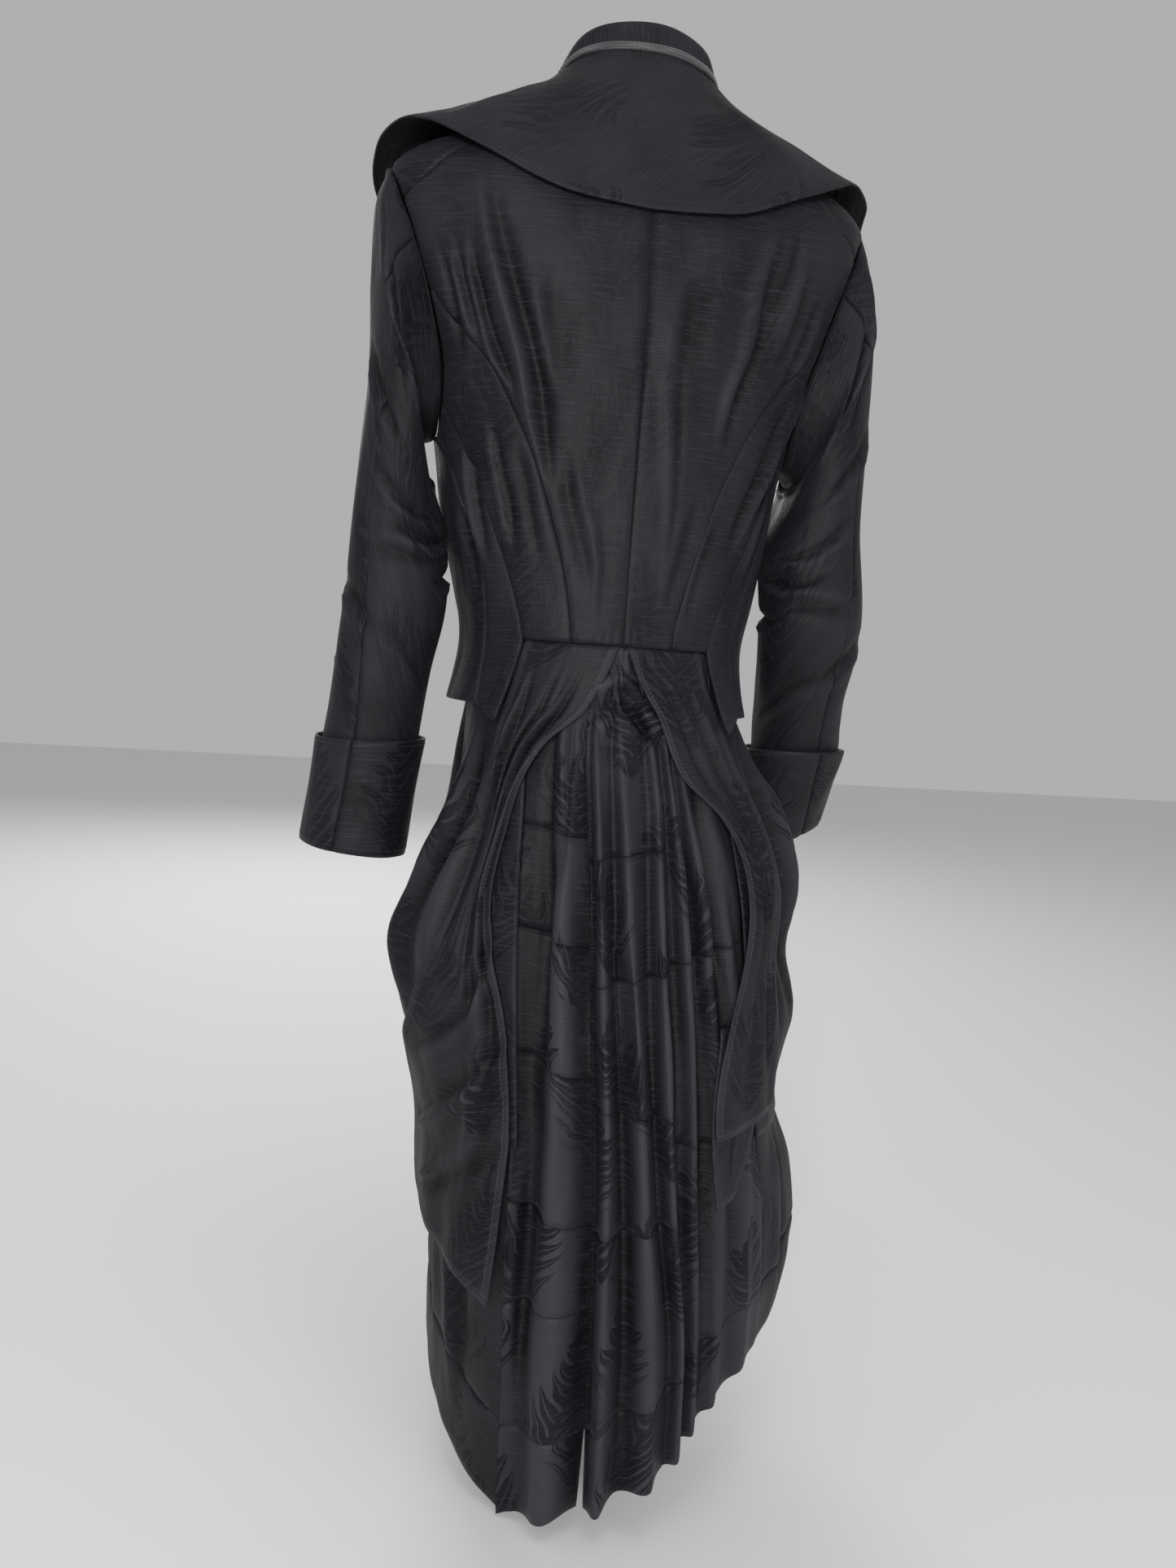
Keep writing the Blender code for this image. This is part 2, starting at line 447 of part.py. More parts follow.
def make_sleeves(cloth):
    """Two-piece sleeves, each with a turned-back cuff seamed at its back."""
    for name, hand, table in (("left", 1, SLEEVE_LEFT), ("right", -1, SLEEVE_RIGHT)):
        surface = sleeve_surface(table, hand)
        back, front = SLEEVE_SEAMS
        for part, first, last in (("upper", front - 360, back), ("under", back, front)):
            edges = strip(last, first, 0.0, SLEEVE_END, SLEEVE_ROWS)
            gaps = np.full(SLEEVE_ROWS + 1, SLEEVE_GAP)
            gaps[:len(SLEEVE_HEAD_GAPS)] = SLEEVE_HEAD_GAPS
            panel(f"sleeve_{part}_{name}", surface, edges[0], edges[1], (last - first) // CLOCK_STEP, cloth,
                  hand, gap=gaps, top_gap=SLEEVE_GAP)
        make_cuff(f"cuff_{name}", surface, hand, cloth)


def make_cuff(name, surface, hand, cloth):
    """A turned-back cuff, seamed at its back, standing a little off the sleeve at its upper edge."""
    def flared(angle, share):
        down = (share - CUFF["top"]) / (CUFF["bottom"] - CUFF["top"])
        lift = CUFF["lift_top"] * (1 - down) + CUFF["lift_bottom"] * down
        return surface(angle, share, WALL + lift)
    first, last = SLEEVE_SEAMS[0], SLEEVE_SEAMS[0] - 360
    edges = strip(first, last + 0.3, CUFF["top"], CUFF["bottom"], 3)
    panel(name, flared, edges[0], edges[1], 20, cloth, hand, gap=SLEEVE_GAP)


def stand_surface(angle, share, lift=0.0):
    """The collar stand, from its foot inside the neck edge at 0 to its top edge at 1."""
    turn = np.radians(angle)
    inside = np.interp(np.abs(angle), STAND["foot_angle"], STAND["foot_inset"])
    foot = bodice(angle, np.full_like(share, STAND["foot_z"]), lift - inside)
    fall = STAND["side_fall"] * (angle / 90) ** 2
    top = np.stack([(STAND["width"] + lift) * np.sin(turn), (STAND["depth"] + lift) * np.cos(turn),
                    STAND["top_z"] - fall - 0.012 * (np.abs(angle) / 90) ** 3], axis=-1)
    return foot + (top - foot) * share[..., None]


def cape(angle, share):
    """The cape collar as it lies over the shoulders and down the fronts."""
    place = np.abs(angle)
    roll_z, edge_z, lift, rise = (curve(COLLAR["angle"], COLLAR[column], place) for column in
                                  ("roll_z", "edge_z", "lift", "rise"))
    neck_z = np.minimum(0.008, roll_z)
    z = neck_z + (edge_z - neck_z) * share
    over_lap = np.where(angle < 0, LAP["lift"] * lap_share(angle, z), 0.0)
    point = bodice(angle, z, lift * (0.62 + 0.38 * share) + over_lap)
    point[..., 2] += (roll_z - neck_z) * (1 - share) ** 1.5 + rise * share
    return point


def collar_surface(angle, share):
    """The cape collar, from its roll against the stand at 0 to its outer edge at 1."""
    start = np.zeros_like(share)
    roll = cape(angle, start)
    foot_z, top_z = (stand_surface(angle, start + end)[..., 2] for end in (0, 1))
    up = np.clip((roll[..., 2] - foot_z) / (top_z - foot_z), 0, 0.9)
    seat = stand_surface(angle, up, WALL + STAND["seat_gap"])
    near = np.clip((108 - np.abs(angle)) / 16, 0, 1) * (1 - share) ** 3
    return cape(angle, share) + (seat - roll) * near[..., None]


def make_collar(cloth, tape):
    """Stand, cape collar with its lapels, and the tape over the seam between them."""
    end = STAND["end_angle"]
    across = line(((-end, 0), (0, 0), (end, 0)), 20)
    up = np.array([0.0, 1.0])
    panel("collar_stand", stand_surface, across, across + up, 2, cloth)
    last = COLLAR["angle"][-1]
    round_neck = line(((last, 0), (90, 0), (0, 0), (-90, 0), (-last, 0)), 34)
    panel("cape_collar", collar_surface, round_neck, round_neck + up, 6, cloth)
    tape_end = 0.8 * end
    tape_edge = line(((-tape_end, 0.76), (0, 0.70), (tape_end, 0.76)), 16)
    panel("collar_tape", lambda angle, share: stand_surface(angle, share, WALL + 0.0004),
          tape_edge, tape_edge + up * 0.08, 1, tape)


def fold_place(name, z):
    return np.full_like(z, float(FOLD_NAMES.index(name)))


def band_edge(column, angle):
    return curve(HEM["angle"], HEM[column], angle)


def fold_angle(name, z):
    return curve(FOLD_HEIGHTS, FOLDS[name][0], z)


def settle(name, column):
    """The height at which a fold line meets the hem or the top of its band."""
    z = -1.0
    for _ in range(6):
        z = float(band_edge(column, fold_angle(name, z)))
    return z


def gore_tier(name, first, last, columns, top, bottom, cloth, parted=(0.0, 0.0)):
    """One strip of a gore, between two cross seams given by their heights at the gore's two edges."""
    rows = max(2, round((min(top) - max(bottom)) / PLEAT_ROW))
    places = []
    for fold, high, low, part in ((first, top[0], bottom[0], parted[0]), (last, top[1], bottom[1], parted[1])):
        z = np.linspace(high, low, rows + 1)
        places.append(np.stack([fold_place(fold, z) + part * np.linspace(0, 1, rows + 1), z], axis=-1))
    above = BAND_GAP if name == "band_back_centre" else SEAM_GAP
    panel(name, pleats, places[0], places[1], columns, cloth, top_gap=above)


def make_back_skirt(cloth):
    """The pleated gores, each pieced from strips, and the hem band below them."""
    for gore, (first, last, density, seams) in GORES.items():
        columns = density * (FOLD_NAMES.index(last) - FOLD_NAMES.index(first))
        band = (settle(first, "band_z"), settle(last, "band_z"))
        hem = (settle(first, "hem_z"), settle(last, "hem_z"))
        heights = ((SKIRT_TOP_Z, SKIRT_TOP_Z),) + seams + (band, hem)
        for k in range(len(heights) - 1):
            is_band = k == len(heights) - 2
            name = f"band_{gore}" if is_band else f"skirt_{gore}_{k + 1}"
            parted = SLIT.get(gore, (0.0, 0.0)) if is_band else (0.0, 0.0)
            gore_tier(name, first, last, columns, heights[k], heights[k + 1], cloth, parted)


def under_drape(angle, z):
    """The skirt's surface below the side drapes, set in from the pleats' edge and easing out to the front."""
    return skirt(angle, z, np.interp(np.abs(angle), SIDE_PANEL_INSET["angle"], SIDE_PANEL_INSET["lift"]))


def hung(name, surface, top, bottom, angles, rows, columns, cloth, side):
    """A plain piece of the skirt between two angles and two edge heights, given as functions of the angle."""
    share = np.linspace(0, 1, rows + 1)
    edges = []
    for angle in angles:
        z = top(angle * side) + (bottom(angle * side) - top(angle * side)) * share
        edges.append(np.stack([np.full(rows + 1, float(angle)), z], axis=-1))
    panel(name, surface, edges[0], edges[1], columns, cloth, side)


def make_side_skirt(cloth):
    """Side drapes, the panels below them, the front skirt and its hem bands."""
    def waist(angle):
        return SKIRT_TOP_Z

    def drape_hem(angle):
        return DRAPE_HEM_Z

    def panel_top(angle):
        return SIDE_PANEL_TOP_Z

    def band_top(angle):
        return band_edge("band_z", angle)

    def hem(angle):
        return band_edge("hem_z", angle)

    front = (FRONT_SKIRT_ANGLE, FRONT_SKIRT_EDGE)
    for name, hand in (("left", 1), ("right", -1)):
        drape = (DRAPE_START[hand], FRONT_SKIRT_ANGLE)
        below = (SIDE_PANEL_START[hand], FRONT_SKIRT_ANGLE)
        hung(f"drape_{name}", skirt, waist, drape_hem, drape, 12, 6, cloth, hand)
        hung(f"skirt_side_{name}", under_drape, panel_top, band_top, below, 6, 6, cloth, hand)
        hung(f"band_side_{name}", under_drape, band_top, hem, below, 2, 6, cloth, hand)
        hung(f"skirt_front_{name}", skirt, waist, band_top, front, 10, 5, cloth, hand)
        hung(f"band_front_{name}", skirt, band_top, hem, front, 2, 5, cloth, hand)


def make_tail(name, table, side, columns, cloth):
    """A tail hung over the skirt, with soft waves across it."""
    rows = np.arange(len(table["lift"]))
    angles = [np.asarray(table[edge + "_angle"], float) for edge in ("inner", "outer")]
    heights = [np.asarray(table[edge + "_z"], float) for edge in ("inner", "outer")]

    def surface(row, share):
        row = row * side
        angle = np.interp(row, rows, angles[0]) * (1 - share) + np.interp(row, rows, angles[1]) * share
        z = np.interp(row, rows, heights[0]) * (1 - share) + np.interp(row, rows, heights[1]) * share
        wave = np.interp(row, rows, table["wave"]) * np.sin(share * TAIL_WAVES) ** 2
        return skirt(angle * side, z, (np.interp(row, rows, table["lift"]) + wave) * 0.001)
    inner = np.stack([rows.astype(float), np.zeros(len(rows))], axis=-1)
    outer = inner + np.array([0.0, 1.0])
    panel(name, surface, inner, outer, columns, cloth, side)


def make_tails(cloth):
    make_tail("tail_left", TAIL_LEFT, 1, 8, cloth)
    make_tail("tail_right", TAIL_RIGHT, -1, 7, cloth)
    make_tail("tail_right_under", TAIL_UNDER, -1, 4, cloth)


def make_buttons(finish, front):
    """Cloth-covered buttons down the lap, each a turned dome that stands just off the right front."""
    places = [vertex.co for vertex in front.data.vertices]
    cloth = BVHTree.FromPolygons(places, [face.vertices for face in front.data.polygons])
    for k, z in enumerate(BUTTONS["z"]):
        mesh = bpy.data.meshes.new(f"button_{k + 1}")
        dome = bmesh.new()
        bmesh.ops.create_uvsphere(dome, u_segments=10, v_segments=5, radius=1.0)
        for vertex in dome.verts:
            vertex.co.x *= BUTTONS["radius"]
            vertex.co.y *= BUTTONS["radius"]
            vertex.co.z *= BUTTONS["height"] / 2
        dome.to_mesh(mesh)
        dome.free()
        mesh.shade_smooth()
        mesh.materials.append(finish)
        button = bpy.data.objects.new(mesh.name, mesh)
        place, normal = cloth.ray_cast((0.0, -1.0, z), (0.0, 1.0, 0.0))[:2]
        button.rotation_euler = normal.to_track_quat("Z", "Y").to_euler()
        button.location = place + normal * (BUTTONS["height"] / 2 + BUTTONS["stand_off"])
        COAT.objects.link(button)


for leftover in list(bpy.data.objects):
    bpy.data.objects.remove(leftover)
COAT = bpy.data.collections.new("coat")
bpy.context.scene.collection.children.link(COAT)
coat_cloth = material("coat_cloth", CLOTH_BLACK, 0.55)
make_bodice(coat_cloth)
make_sleeves(coat_cloth)
make_collar(coat_cloth, material("binding_tape", TAPE_GREY, 0.6))
make_back_skirt(coat_cloth)
make_side_skirt(coat_cloth)
make_tails(coat_cloth)
make_buttons(material("covered_button", BUTTON_BLACK, 0.5), COAT.objects["front_right"])
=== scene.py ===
import math
import bpy
import bmesh
import numpy as np
from mathutils import Matrix, Vector


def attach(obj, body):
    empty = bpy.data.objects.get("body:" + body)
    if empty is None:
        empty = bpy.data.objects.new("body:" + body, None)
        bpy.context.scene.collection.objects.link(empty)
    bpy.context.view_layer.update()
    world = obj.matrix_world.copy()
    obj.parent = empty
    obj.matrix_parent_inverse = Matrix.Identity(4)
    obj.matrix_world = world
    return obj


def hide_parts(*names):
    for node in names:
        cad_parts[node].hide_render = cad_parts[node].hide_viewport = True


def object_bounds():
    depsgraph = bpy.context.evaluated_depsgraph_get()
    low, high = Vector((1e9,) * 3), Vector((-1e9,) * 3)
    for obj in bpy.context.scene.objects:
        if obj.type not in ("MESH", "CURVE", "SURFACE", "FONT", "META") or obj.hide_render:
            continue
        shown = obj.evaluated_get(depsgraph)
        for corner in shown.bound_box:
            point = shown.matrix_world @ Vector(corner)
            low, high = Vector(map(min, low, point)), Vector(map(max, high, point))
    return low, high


# Long fitted coat in black figured cloth. Metres, +Z up; the wearer faces -Y and their left is +X.
# Angles run round the body from the centre back, positive towards the wearer's left, in degrees.

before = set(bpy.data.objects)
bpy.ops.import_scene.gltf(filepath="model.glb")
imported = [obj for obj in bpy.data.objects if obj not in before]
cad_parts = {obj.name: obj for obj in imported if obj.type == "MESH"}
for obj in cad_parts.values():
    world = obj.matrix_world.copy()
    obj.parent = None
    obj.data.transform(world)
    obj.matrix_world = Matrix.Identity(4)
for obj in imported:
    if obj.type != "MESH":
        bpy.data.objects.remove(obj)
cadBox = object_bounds()
print("frame loaded:", len(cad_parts), "nodes")


# Materials.
# a number, vector or colour in a material's node tree, so that sums of nodes read as sums
class Value:
    def __init__(self, tree, socket):
        self.tree, self.socket = tree, socket

    def of(self, operation, *more):
        return mathValue(self.tree, operation, self, *more)

    def __add__(self, other):
        return self.of("ADD", other)

    def __sub__(self, other):
        return self.of("SUBTRACT", other)

    def __rsub__(self, other):
        return mathValue(self.tree, "SUBTRACT", other, self)

    def __mul__(self, other):
        return self.of("MULTIPLY", other)

    def __truediv__(self, other):
        return self.of("DIVIDE", other)

    def __abs__(self):
        return self.of("ABSOLUTE")


# links a value to a socket, or sets a constant on it
def put(socket, value):
    if isinstance(value, Value):
        value.tree.links.new(value.socket, socket)
    else:
        socket.default_value = value


def mathValue(tree, operation, *terms):
    node = tree.nodes.new("ShaderNodeMath")
    node.operation = operation
    for socket, term in zip(node.inputs, terms):
        put(socket, term)
    return Value(tree, node.outputs[0])


# one output of a new node with these inputs and settings
def nodeValue(tree, kind, inputs, output=0, **settings):
    node = tree.nodes.new(kind)
    for name, value in settings.items():
        setattr(node, name, value)
    for name, value in inputs.items():
        put(node.inputs[name], value)
    return Value(tree, node.outputs[output])


def mixColor(share, first, second):
    node = share.tree.nodes.new("ShaderNodeMix")
    node.data_type = "RGBA"
    for socket, value in zip([socket for socket in node.inputs if socket.enabled], (share, first, second)):
        put(socket, value)
    return Value(share.tree, [socket for socket in node.outputs if socket.enabled][0])


def noise(place, scale, detail=3.0, roughness=0.55):
    return nodeValue(place.tree, "ShaderNodeTexNoise",
                     {"Vector": place, "Scale": scale, "Detail": detail, "Roughness": roughness}, "Fac")


def stretched(place, x, y):
    return nodeValue(place.tree, "ShaderNodeMapping", {"Vector": place, "Scale": (x, y, 1.0)})


def attribute(tree, name):
    return nodeValue(tree, "ShaderNodeAttribute", {}, "Fac", attribute_name=name)


def smoothStep(value, low, high):
    inputs = {"Value": value, "From Min": low, "From Max": high}
    return nodeValue(value.tree, "ShaderNodeMapRange", inputs, "Result", interpolation_type="SMOOTHSTEP")


def bump(height, strength, distance, normal=None):
    inputs = {"Strength": strength, "Distance": distance, "Height": height}
    if normal is not None:
        inputs["Normal"] = normal
    return nodeValue(height.tree, "ShaderNodeBump", inputs)


# a new material whose shader takes these inputs
def newFinish(name, inputsOf):
    finish = bpy.data.materials.new(name)
    finish.use_nodes = True
    tree = finish.node_tree
    for socket, value in inputsOf(tree).items():
        put(tree.nodes["Principled BSDF"].inputs[socket], value)
    return finish


clothLook = {
    "paintedLight": (0.0340, 0.0356, 0.0410, 1.0),     # painted light on the folds' ridges; the hollow colour below is the painted shade between them
    "hollow": (0.0020, 0.0022, 0.0032, 1.0),
    "figure": (0.0052, 0.0056, 0.0072, 1.0),
    "seam": (0.0030, 0.0031, 0.0036, 1.0),
    "dusty": (0.0270, 0.0284, 0.0328, 1.0),     # along worn edges and on the slubs
    "rough": (0.54, 0.44),           # of the ground and of the figure
    "shine": (0.18, 0.08),
    "sheen": {"Sheen Weight": 0.03, "Sheen Roughness": 0.45, "Sheen Tint": (0.62, 0.66, 0.74, 1.0)},
    "repeat": (0.104, 0.156),        # one leaf spray, across and along the cloth
    "cutApart": (0.038, 0.061),      # how far apart along the cloth two pieces are cut
    "slubs": (38.0, 620.0),          # threads per metre along and across the weft
    "warp": (900.0, 60.0),
    # noises as (scale, from, to, strength)
    "drift": (16.0, 0.045), "faded": (9.0, 0.28, 0.50), "patches": (5.5, 0.40, 0.72, 0.34),
    "rub": (130.0, 0.0004, 0.0030, 0.50),
    # strength of the leaves, the slubs, the turned hems and the seams, with the slubs' and the seams' reach
    "leafShow": 0.85, "slubShow": (0.46, 0.78, 0.70), "hemShow": 0.55, "seamShow": (0.0003, 0.0017, 0.62),
    "slubRough": 0.16, "patchRough": 0.2, "warpHigh": 0.4,
    # slack and crinkled cloth as (scale, stretch, detail, roughness, strength, distance)
    "slack": (24.0, 0.45, 2.0, 0.5, 0.60, 0.0065), "crinkle": (70.0, 0.60, 4.0, 0.62, 0.60, 0.0020),
    "threadBump": (0.75, 0.0006), "leafBump": (0.35, 0.0003),
}
# One spray, in shares of its repeat: its stem's curve, its width and taper, its leaflets' slant, tips and
# soft edges.
leafShape = {
    "sway": (5.2, 0.17), "wide": 0.43, "taper": 1.75, "widest": 0.06, "least": 0.02, "slant": (1.1, 0.40),
    "leaflets": 7.5, "tip": 0.92, "point": 2.2, "blade": (-0.03, 0.10), "vein": (0.05, 0.13), "stalk": 0.024,
    "stalkEdge": (-0.006, 0.004), "inside": (0.0, 0.03), "end": 0.46, "endEdge": (0.0, 0.02),
}


# sprays of slanting leaflets either side of a curved stem, in half-drop columns
def leafFigure(across, along):
    shape = leafShape
    wide, tall = clothLook["repeat"]
    column = across / wide
    parity = abs(column.of("FLOOR")).of("MODULO", 2.0)
    x = (column.of("FRACT") - 0.5) * (1.0 - parity * 2.0)
    y = (parity * 0.5 + along / tall).of("FRACT") - 0.5
    away = x - (y * shape["sway"][0]).of("SINE") * shape["sway"][1]
    side = abs(away)
    spread = shape["wide"] - abs(y + shape["widest"]).of("POWER", 2.0) * shape["taper"]
    reach = side / spread.of("MAXIMUM", shape["least"])
    slant = y - side * (side * shape["slant"][0] + shape["slant"][1])
    beat = (slant * shape["leaflets"] + away.of("GREATER_THAN", 0.0) * 0.5).of("FRACT")
    fromMiddle = abs(beat - 0.5) * 2.0
    leaf = smoothStep(shape["tip"] - reach.of("POWER", shape["point"]) - fromMiddle, *shape["blade"])
    blade = leaf * smoothStep(fromMiddle, *shape["vein"]) * smoothStep(spread - side, *shape["inside"])
    stalk = smoothStep(shape["stalk"] - side, *shape["stalkEdge"])
    return blade.of("MAXIMUM", stalk) * smoothStep(shape["end"] - abs(y), *shape["endEdge"])


def clothInputs(tree):
    look = clothLook
    place = nodeValue(tree, "ShaderNodeUVMap", {}, uv_map="cloth")
    across, along = (nodeValue(tree, "ShaderNodeSeparateXYZ", {"Vector": place}, axis) for axis in "XY")
    bent = (noise(place, look["drift"][0], 2.0) - 0.5) * look["drift"][1]
    scale, low, high = look["faded"]
    worn = smoothStep(noise(place, scale, 2.0), low, high)
    leaves = leafFigure(across + bent, along - bent) * worn * attribute(tree, "figure")
    slub = noise(stretched(place, *look["slubs"]), 1.0, 2.0)
    warp = noise(stretched(place, *look["warp"]), 1.0, 1.0)
    scale, low, high, strength = look["patches"]
    patch = smoothStep(noise(place, scale, 3.0, 0.6), low, high) * strength
    scale, low, high, strength = look["rub"]
    rub = (1.0 - smoothStep(attribute(tree, "edge"), low, high)) * (noise(place, scale) * strength)
    slubLow, slubHigh, slubStrength = look["slubShow"]
    low, high, strength = look["seamShow"]
    sunk = (1.0 - smoothStep(attribute(tree, "seam"), low, high)) * strength
    # the base colour runs from painted shade in the folds' hollows to painted light on their ridges
    color = mixColor(attribute(tree, "paintedLight"), look["hollow"], look["paintedLight"])
    for share, tint in (
        (leaves * look["leafShow"], "figure"), (smoothStep(slub, slubLow, slubHigh) * slubStrength, "dusty"),
        (patch, "dusty"), (attribute(tree, "hem") * look["hemShow"], "dusty"), (rub, "dusty"), (sunk, "seam"),
    ):
        color = mixColor(share, color, look[tint])
    rough, shine = (leaves * (look[name][1] - look[name][0]) + look[name][0] for name in ("rough", "shine"))
    rough = (slub - 0.5) * look["slubRough"] + rough
    normal = None
    for name in ("slack", "crinkle"):
        scale, stretch, detail, roughness, strength, distance = look[name]
        height = noise(stretched(place, 1.0, stretch), scale, detail, roughness)
        normal = bump(height, strength, distance, normal)
    normal = bump(warp * look["warpHigh"] + slub, *look["threadBump"], normal)
    return {"Base Color": color, "Roughness": patch * look["patchRough"] + rough, "Specular IOR Level": shine,
            "Normal": bump(leaves, *look["leafBump"], normal), **look["sheen"]}


tapeLook = {"lightShare": (0.35, 0.65), "fade": (0.50, 0.75),
            "light": (0.085, 0.086, 0.090, 1.0), "dark": (0.036, 0.037, 0.040, 1.0), "ribs": (900.0, 40.0),
            "worn": 40.0, "rough": (0.2, 0.52), "sheen": 0.25, "bump": (0.6, 0.0004)}


def tapeInputs(tree):
    place = nodeValue(tree, "ShaderNodeUVMap", {}, uv_map="cloth")
    rib = noise(stretched(place, *tapeLook["ribs"]), 1.0, 1.0)
    worn = noise(place, tapeLook["worn"])
    color = mixColor(smoothStep(rib, *tapeLook["lightShare"]), tapeLook["dark"], tapeLook["light"])
    return {"Base Color": mixColor(smoothStep(worn, *tapeLook["fade"]), color, tapeLook["dark"]),
            "Roughness": worn * tapeLook["rough"][0] + tapeLook["rough"][1],
            "Sheen Weight": tapeLook["sheen"], "Normal": bump(rib, *tapeLook["bump"])}


threadLook = {"dark": (0.020, 0.021, 0.023, 1.0), "pale": (0.085, 0.086, 0.090, 1.0), "twist": 1400.0,
              "hollow": 0.55, "rough": (0.25, 0.45), "sheen": 0.2, "bump": (0.4, 0.0002)}


def makeThread(name):
    color = threadLook[name]

    def inputs(tree):
        twist = noise(nodeValue(tree, "ShaderNodeTexCoord", {}, "Object"), threadLook["twist"], 2.0)
        darker = tuple(threadLook["hollow"] * value for value in color[:3]) + (1.0,)
        return {"Base Color": mixColor(twist, darker, color), "Sheen Weight": threadLook["sheen"],
                "Roughness": twist * threadLook["rough"][0] + threadLook["rough"][1],
                "Normal": bump(twist, *threadLook["bump"])}

    return newFinish(name + "Thread", inputs)


figuredCloth = newFinish("figuredCloth", clothInputs)
ribbedTape = newFinish("ribbedTape", tapeInputs)
darkThread, paleThread = makeThread("dark"), makeThread("pale")
print("materials made")


# a new object in the scene
def placed(name, data):
    thing = bpy.data.objects.new(name, data)
    bpy.context.scene.collection.objects.link(thing)
    return thing


# Curves and edges.
degreeWide = 0.0022     # metres to a degree of angle, for lengths along an edge


# values at the heights z, on a smooth curve through a table's rows
def curve(heights, values, z):
    order = np.argsort(heights)
    rows = np.asarray(heights, float)[order]
    values = np.asarray(values, float)[order]
    slopes = np.gradient(values, rows)
    z = np.clip(z, rows[0], rows[-1])
    i = np.clip(np.searchsorted(rows, z) - 1, 0, len(rows) - 2)
    step = rows[i + 1] - rows[i]
    return hermite((z - rows[i]) / step, values[i], values[i + 1], slopes[i] * step, slopes[i + 1] * step)


# the smooth step from one value to the next, with its slopes at both ends
def hermite(t, low, high, start, end):
    rise = high - low
    return low + t * start + t**2 * (3 * rise - 2 * start - end) + t**3 * (start + end - 2 * rise)


# a column of a table of sections, at the heights z
def sized(table, name, z):
    return curve(table["z"], table[name], z)


# a smooth edge through the given places, as steps + 1 even places
def line(points, steps):
    points = np.asarray(points, float)
    lengths = np.linalg.norm(np.diff(points * np.array([degreeWide, 1.0]), axis=0), axis=1)
    along = np.concatenate([[0.0], np.cumsum(lengths)])
    even = np.linspace(0, along[-1], steps + 1)
    return np.stack([curve(along, points[:, k], even) for k in (0, 1)], axis=-1)


# edges joined end to end
def chain(*edges):
    return np.concatenate([edges[0]] + [edge[1:] for edge in edges[1:]])


# a few crossing waves that stand for chance, the same at every run
def ripple(point, size, seed):
    chance = np.random.default_rng(seed)
    total = np.zeros(point.shape[:-1])
    for _ in range(7):
        way = chance.normal(size=3)
        way /= np.linalg.norm(way)
        turns = point @ way * 2 * np.pi / (size * chance.uniform(0.7, 1.5))
        total = total + np.sin(turns + chance.uniform(0, 6.3))
    return total / 4


def smooth(value):
    value = np.clip(value, 0, 1)
    return value * value * (3 - 2 * value)


# Folds stand deeper than their tables, fade and narrow over a share of their length at both ends, and swell
# beside.
foldScale = (0.0024, 0.001)     # metres to a degree and to a millimetre of a fold's path
foldShape = {"depth": 1.45, "ends": 0.32, "narrow": 0.55, "beside": 1.5, "swell": 0.85, "steps": 24}


# Lifts along given fold lines. A fold is its path as pairs in one row, its width and its height in mm
# (a trough sinks), and its share beside it; scale is the metres to one unit of the path's pairs.
def foldLift(folds, first, second, scale):
    x, y = first * scale[0], second * scale[1]
    lift = np.zeros(x.shape)
    for path, *size, beside in folds:
        wide, high = (value / 1000 for value in size)
        path = np.array(path, float).reshape(-1, 2) * scale
        along = np.concatenate([[0.0], np.cumsum(np.linalg.norm(np.diff(path, axis=0), axis=1))])
        even = np.linspace(0, along[-1], foldShape["steps"] + 1)
        path = np.stack([curve(along, path[:, k], even) for k in (0, 1)], axis=-1)
        low, far = path.min(axis=0) - 4 * wide, path.max(axis=0) + 4 * wide
        near = (x > low[0]) & (x < far[0]) & (y > low[1]) & (y < far[1])
        if not near.any():
            continue
        step = np.diff(path, axis=0)
        dx, dy = x[near][:, None] - path[:-1, 0], y[near][:, None] - path[:-1, 1]
        t = np.clip((dx * step[:, 0] + dy * step[:, 1]) / (step**2).sum(axis=1), 0, 1)
        ex, ey = dx - t * step[:, 0], dy - t * step[:, 1]
        k = np.argmin(ex**2 + ey**2, axis=1)
        every = np.arange(len(k))
        side = np.sign(step[k, 0] * ey[every, k] - step[k, 1] * ex[every, k])
        share = (k + t[every, k]) / len(step)
        ends = smooth(np.minimum(share, 1 - share) / foldShape["ends"])
        narrow = foldShape["narrow"] + (1 - foldShape["narrow"]) * ends
        away = side * np.hypot(ex[every, k], ey[every, k]) / (wide * narrow)
        past = (away - foldShape["beside"] * np.sign(beside)) / foldShape["swell"]
        swell = abs(beside) * np.exp(-past**2)
        lift[near] += foldShape["depth"] * high * ends * (np.exp(-away**2) - swell)
    return lift


# The cloth pieces.
clothMake = {
    # painted light and shade: the fold lift in metres to a whole share of painted light, its share on flat
    # cloth and its random mottle
    "wall": 0.0014, "cell": 0.0042, "tuck": 0.00015, "wrinkle": 0.0007, "paintedLight": 0.013, "flatLightShare": 0.24,
    "mottle": 0.10, "girth": 0.135,
    "dip": 0.0010, "reach": 0.0026,     # a seam's depth and half width
    # a seam's puckers: their depth and length, and where beside the seam they start and end
    "pucker": 0.00045, "puckerLength": 0.0085, "puckerStart": 0.0022, "puckerEnd": 0.007,
    # a turned hem's rise and its step, and the dip of a free edge
    "turning": 0.0006, "turnEdge": 0.0012, "rounding": 0.0004,
    # least width, end of an edge's reach, narrowest sheet
    "least": 0.004, "far": 0.02, "thin": 0.01,
}
fine = 6                     # steps of an edge for each row of the plain solid
grids = {}


def lengthsOf(point):
    across = np.linalg.norm(np.diff(point, axis=1), axis=-1)
    down = np.linalg.norm(np.diff(point, axis=0), axis=-1)
    across = np.concatenate([np.zeros((len(point), 1)), np.cumsum(across, axis=1)], axis=1)
    down = np.concatenate([np.zeros((1, point.shape[1])), np.cumsum(down, axis=0)], axis=0)
    return across, down


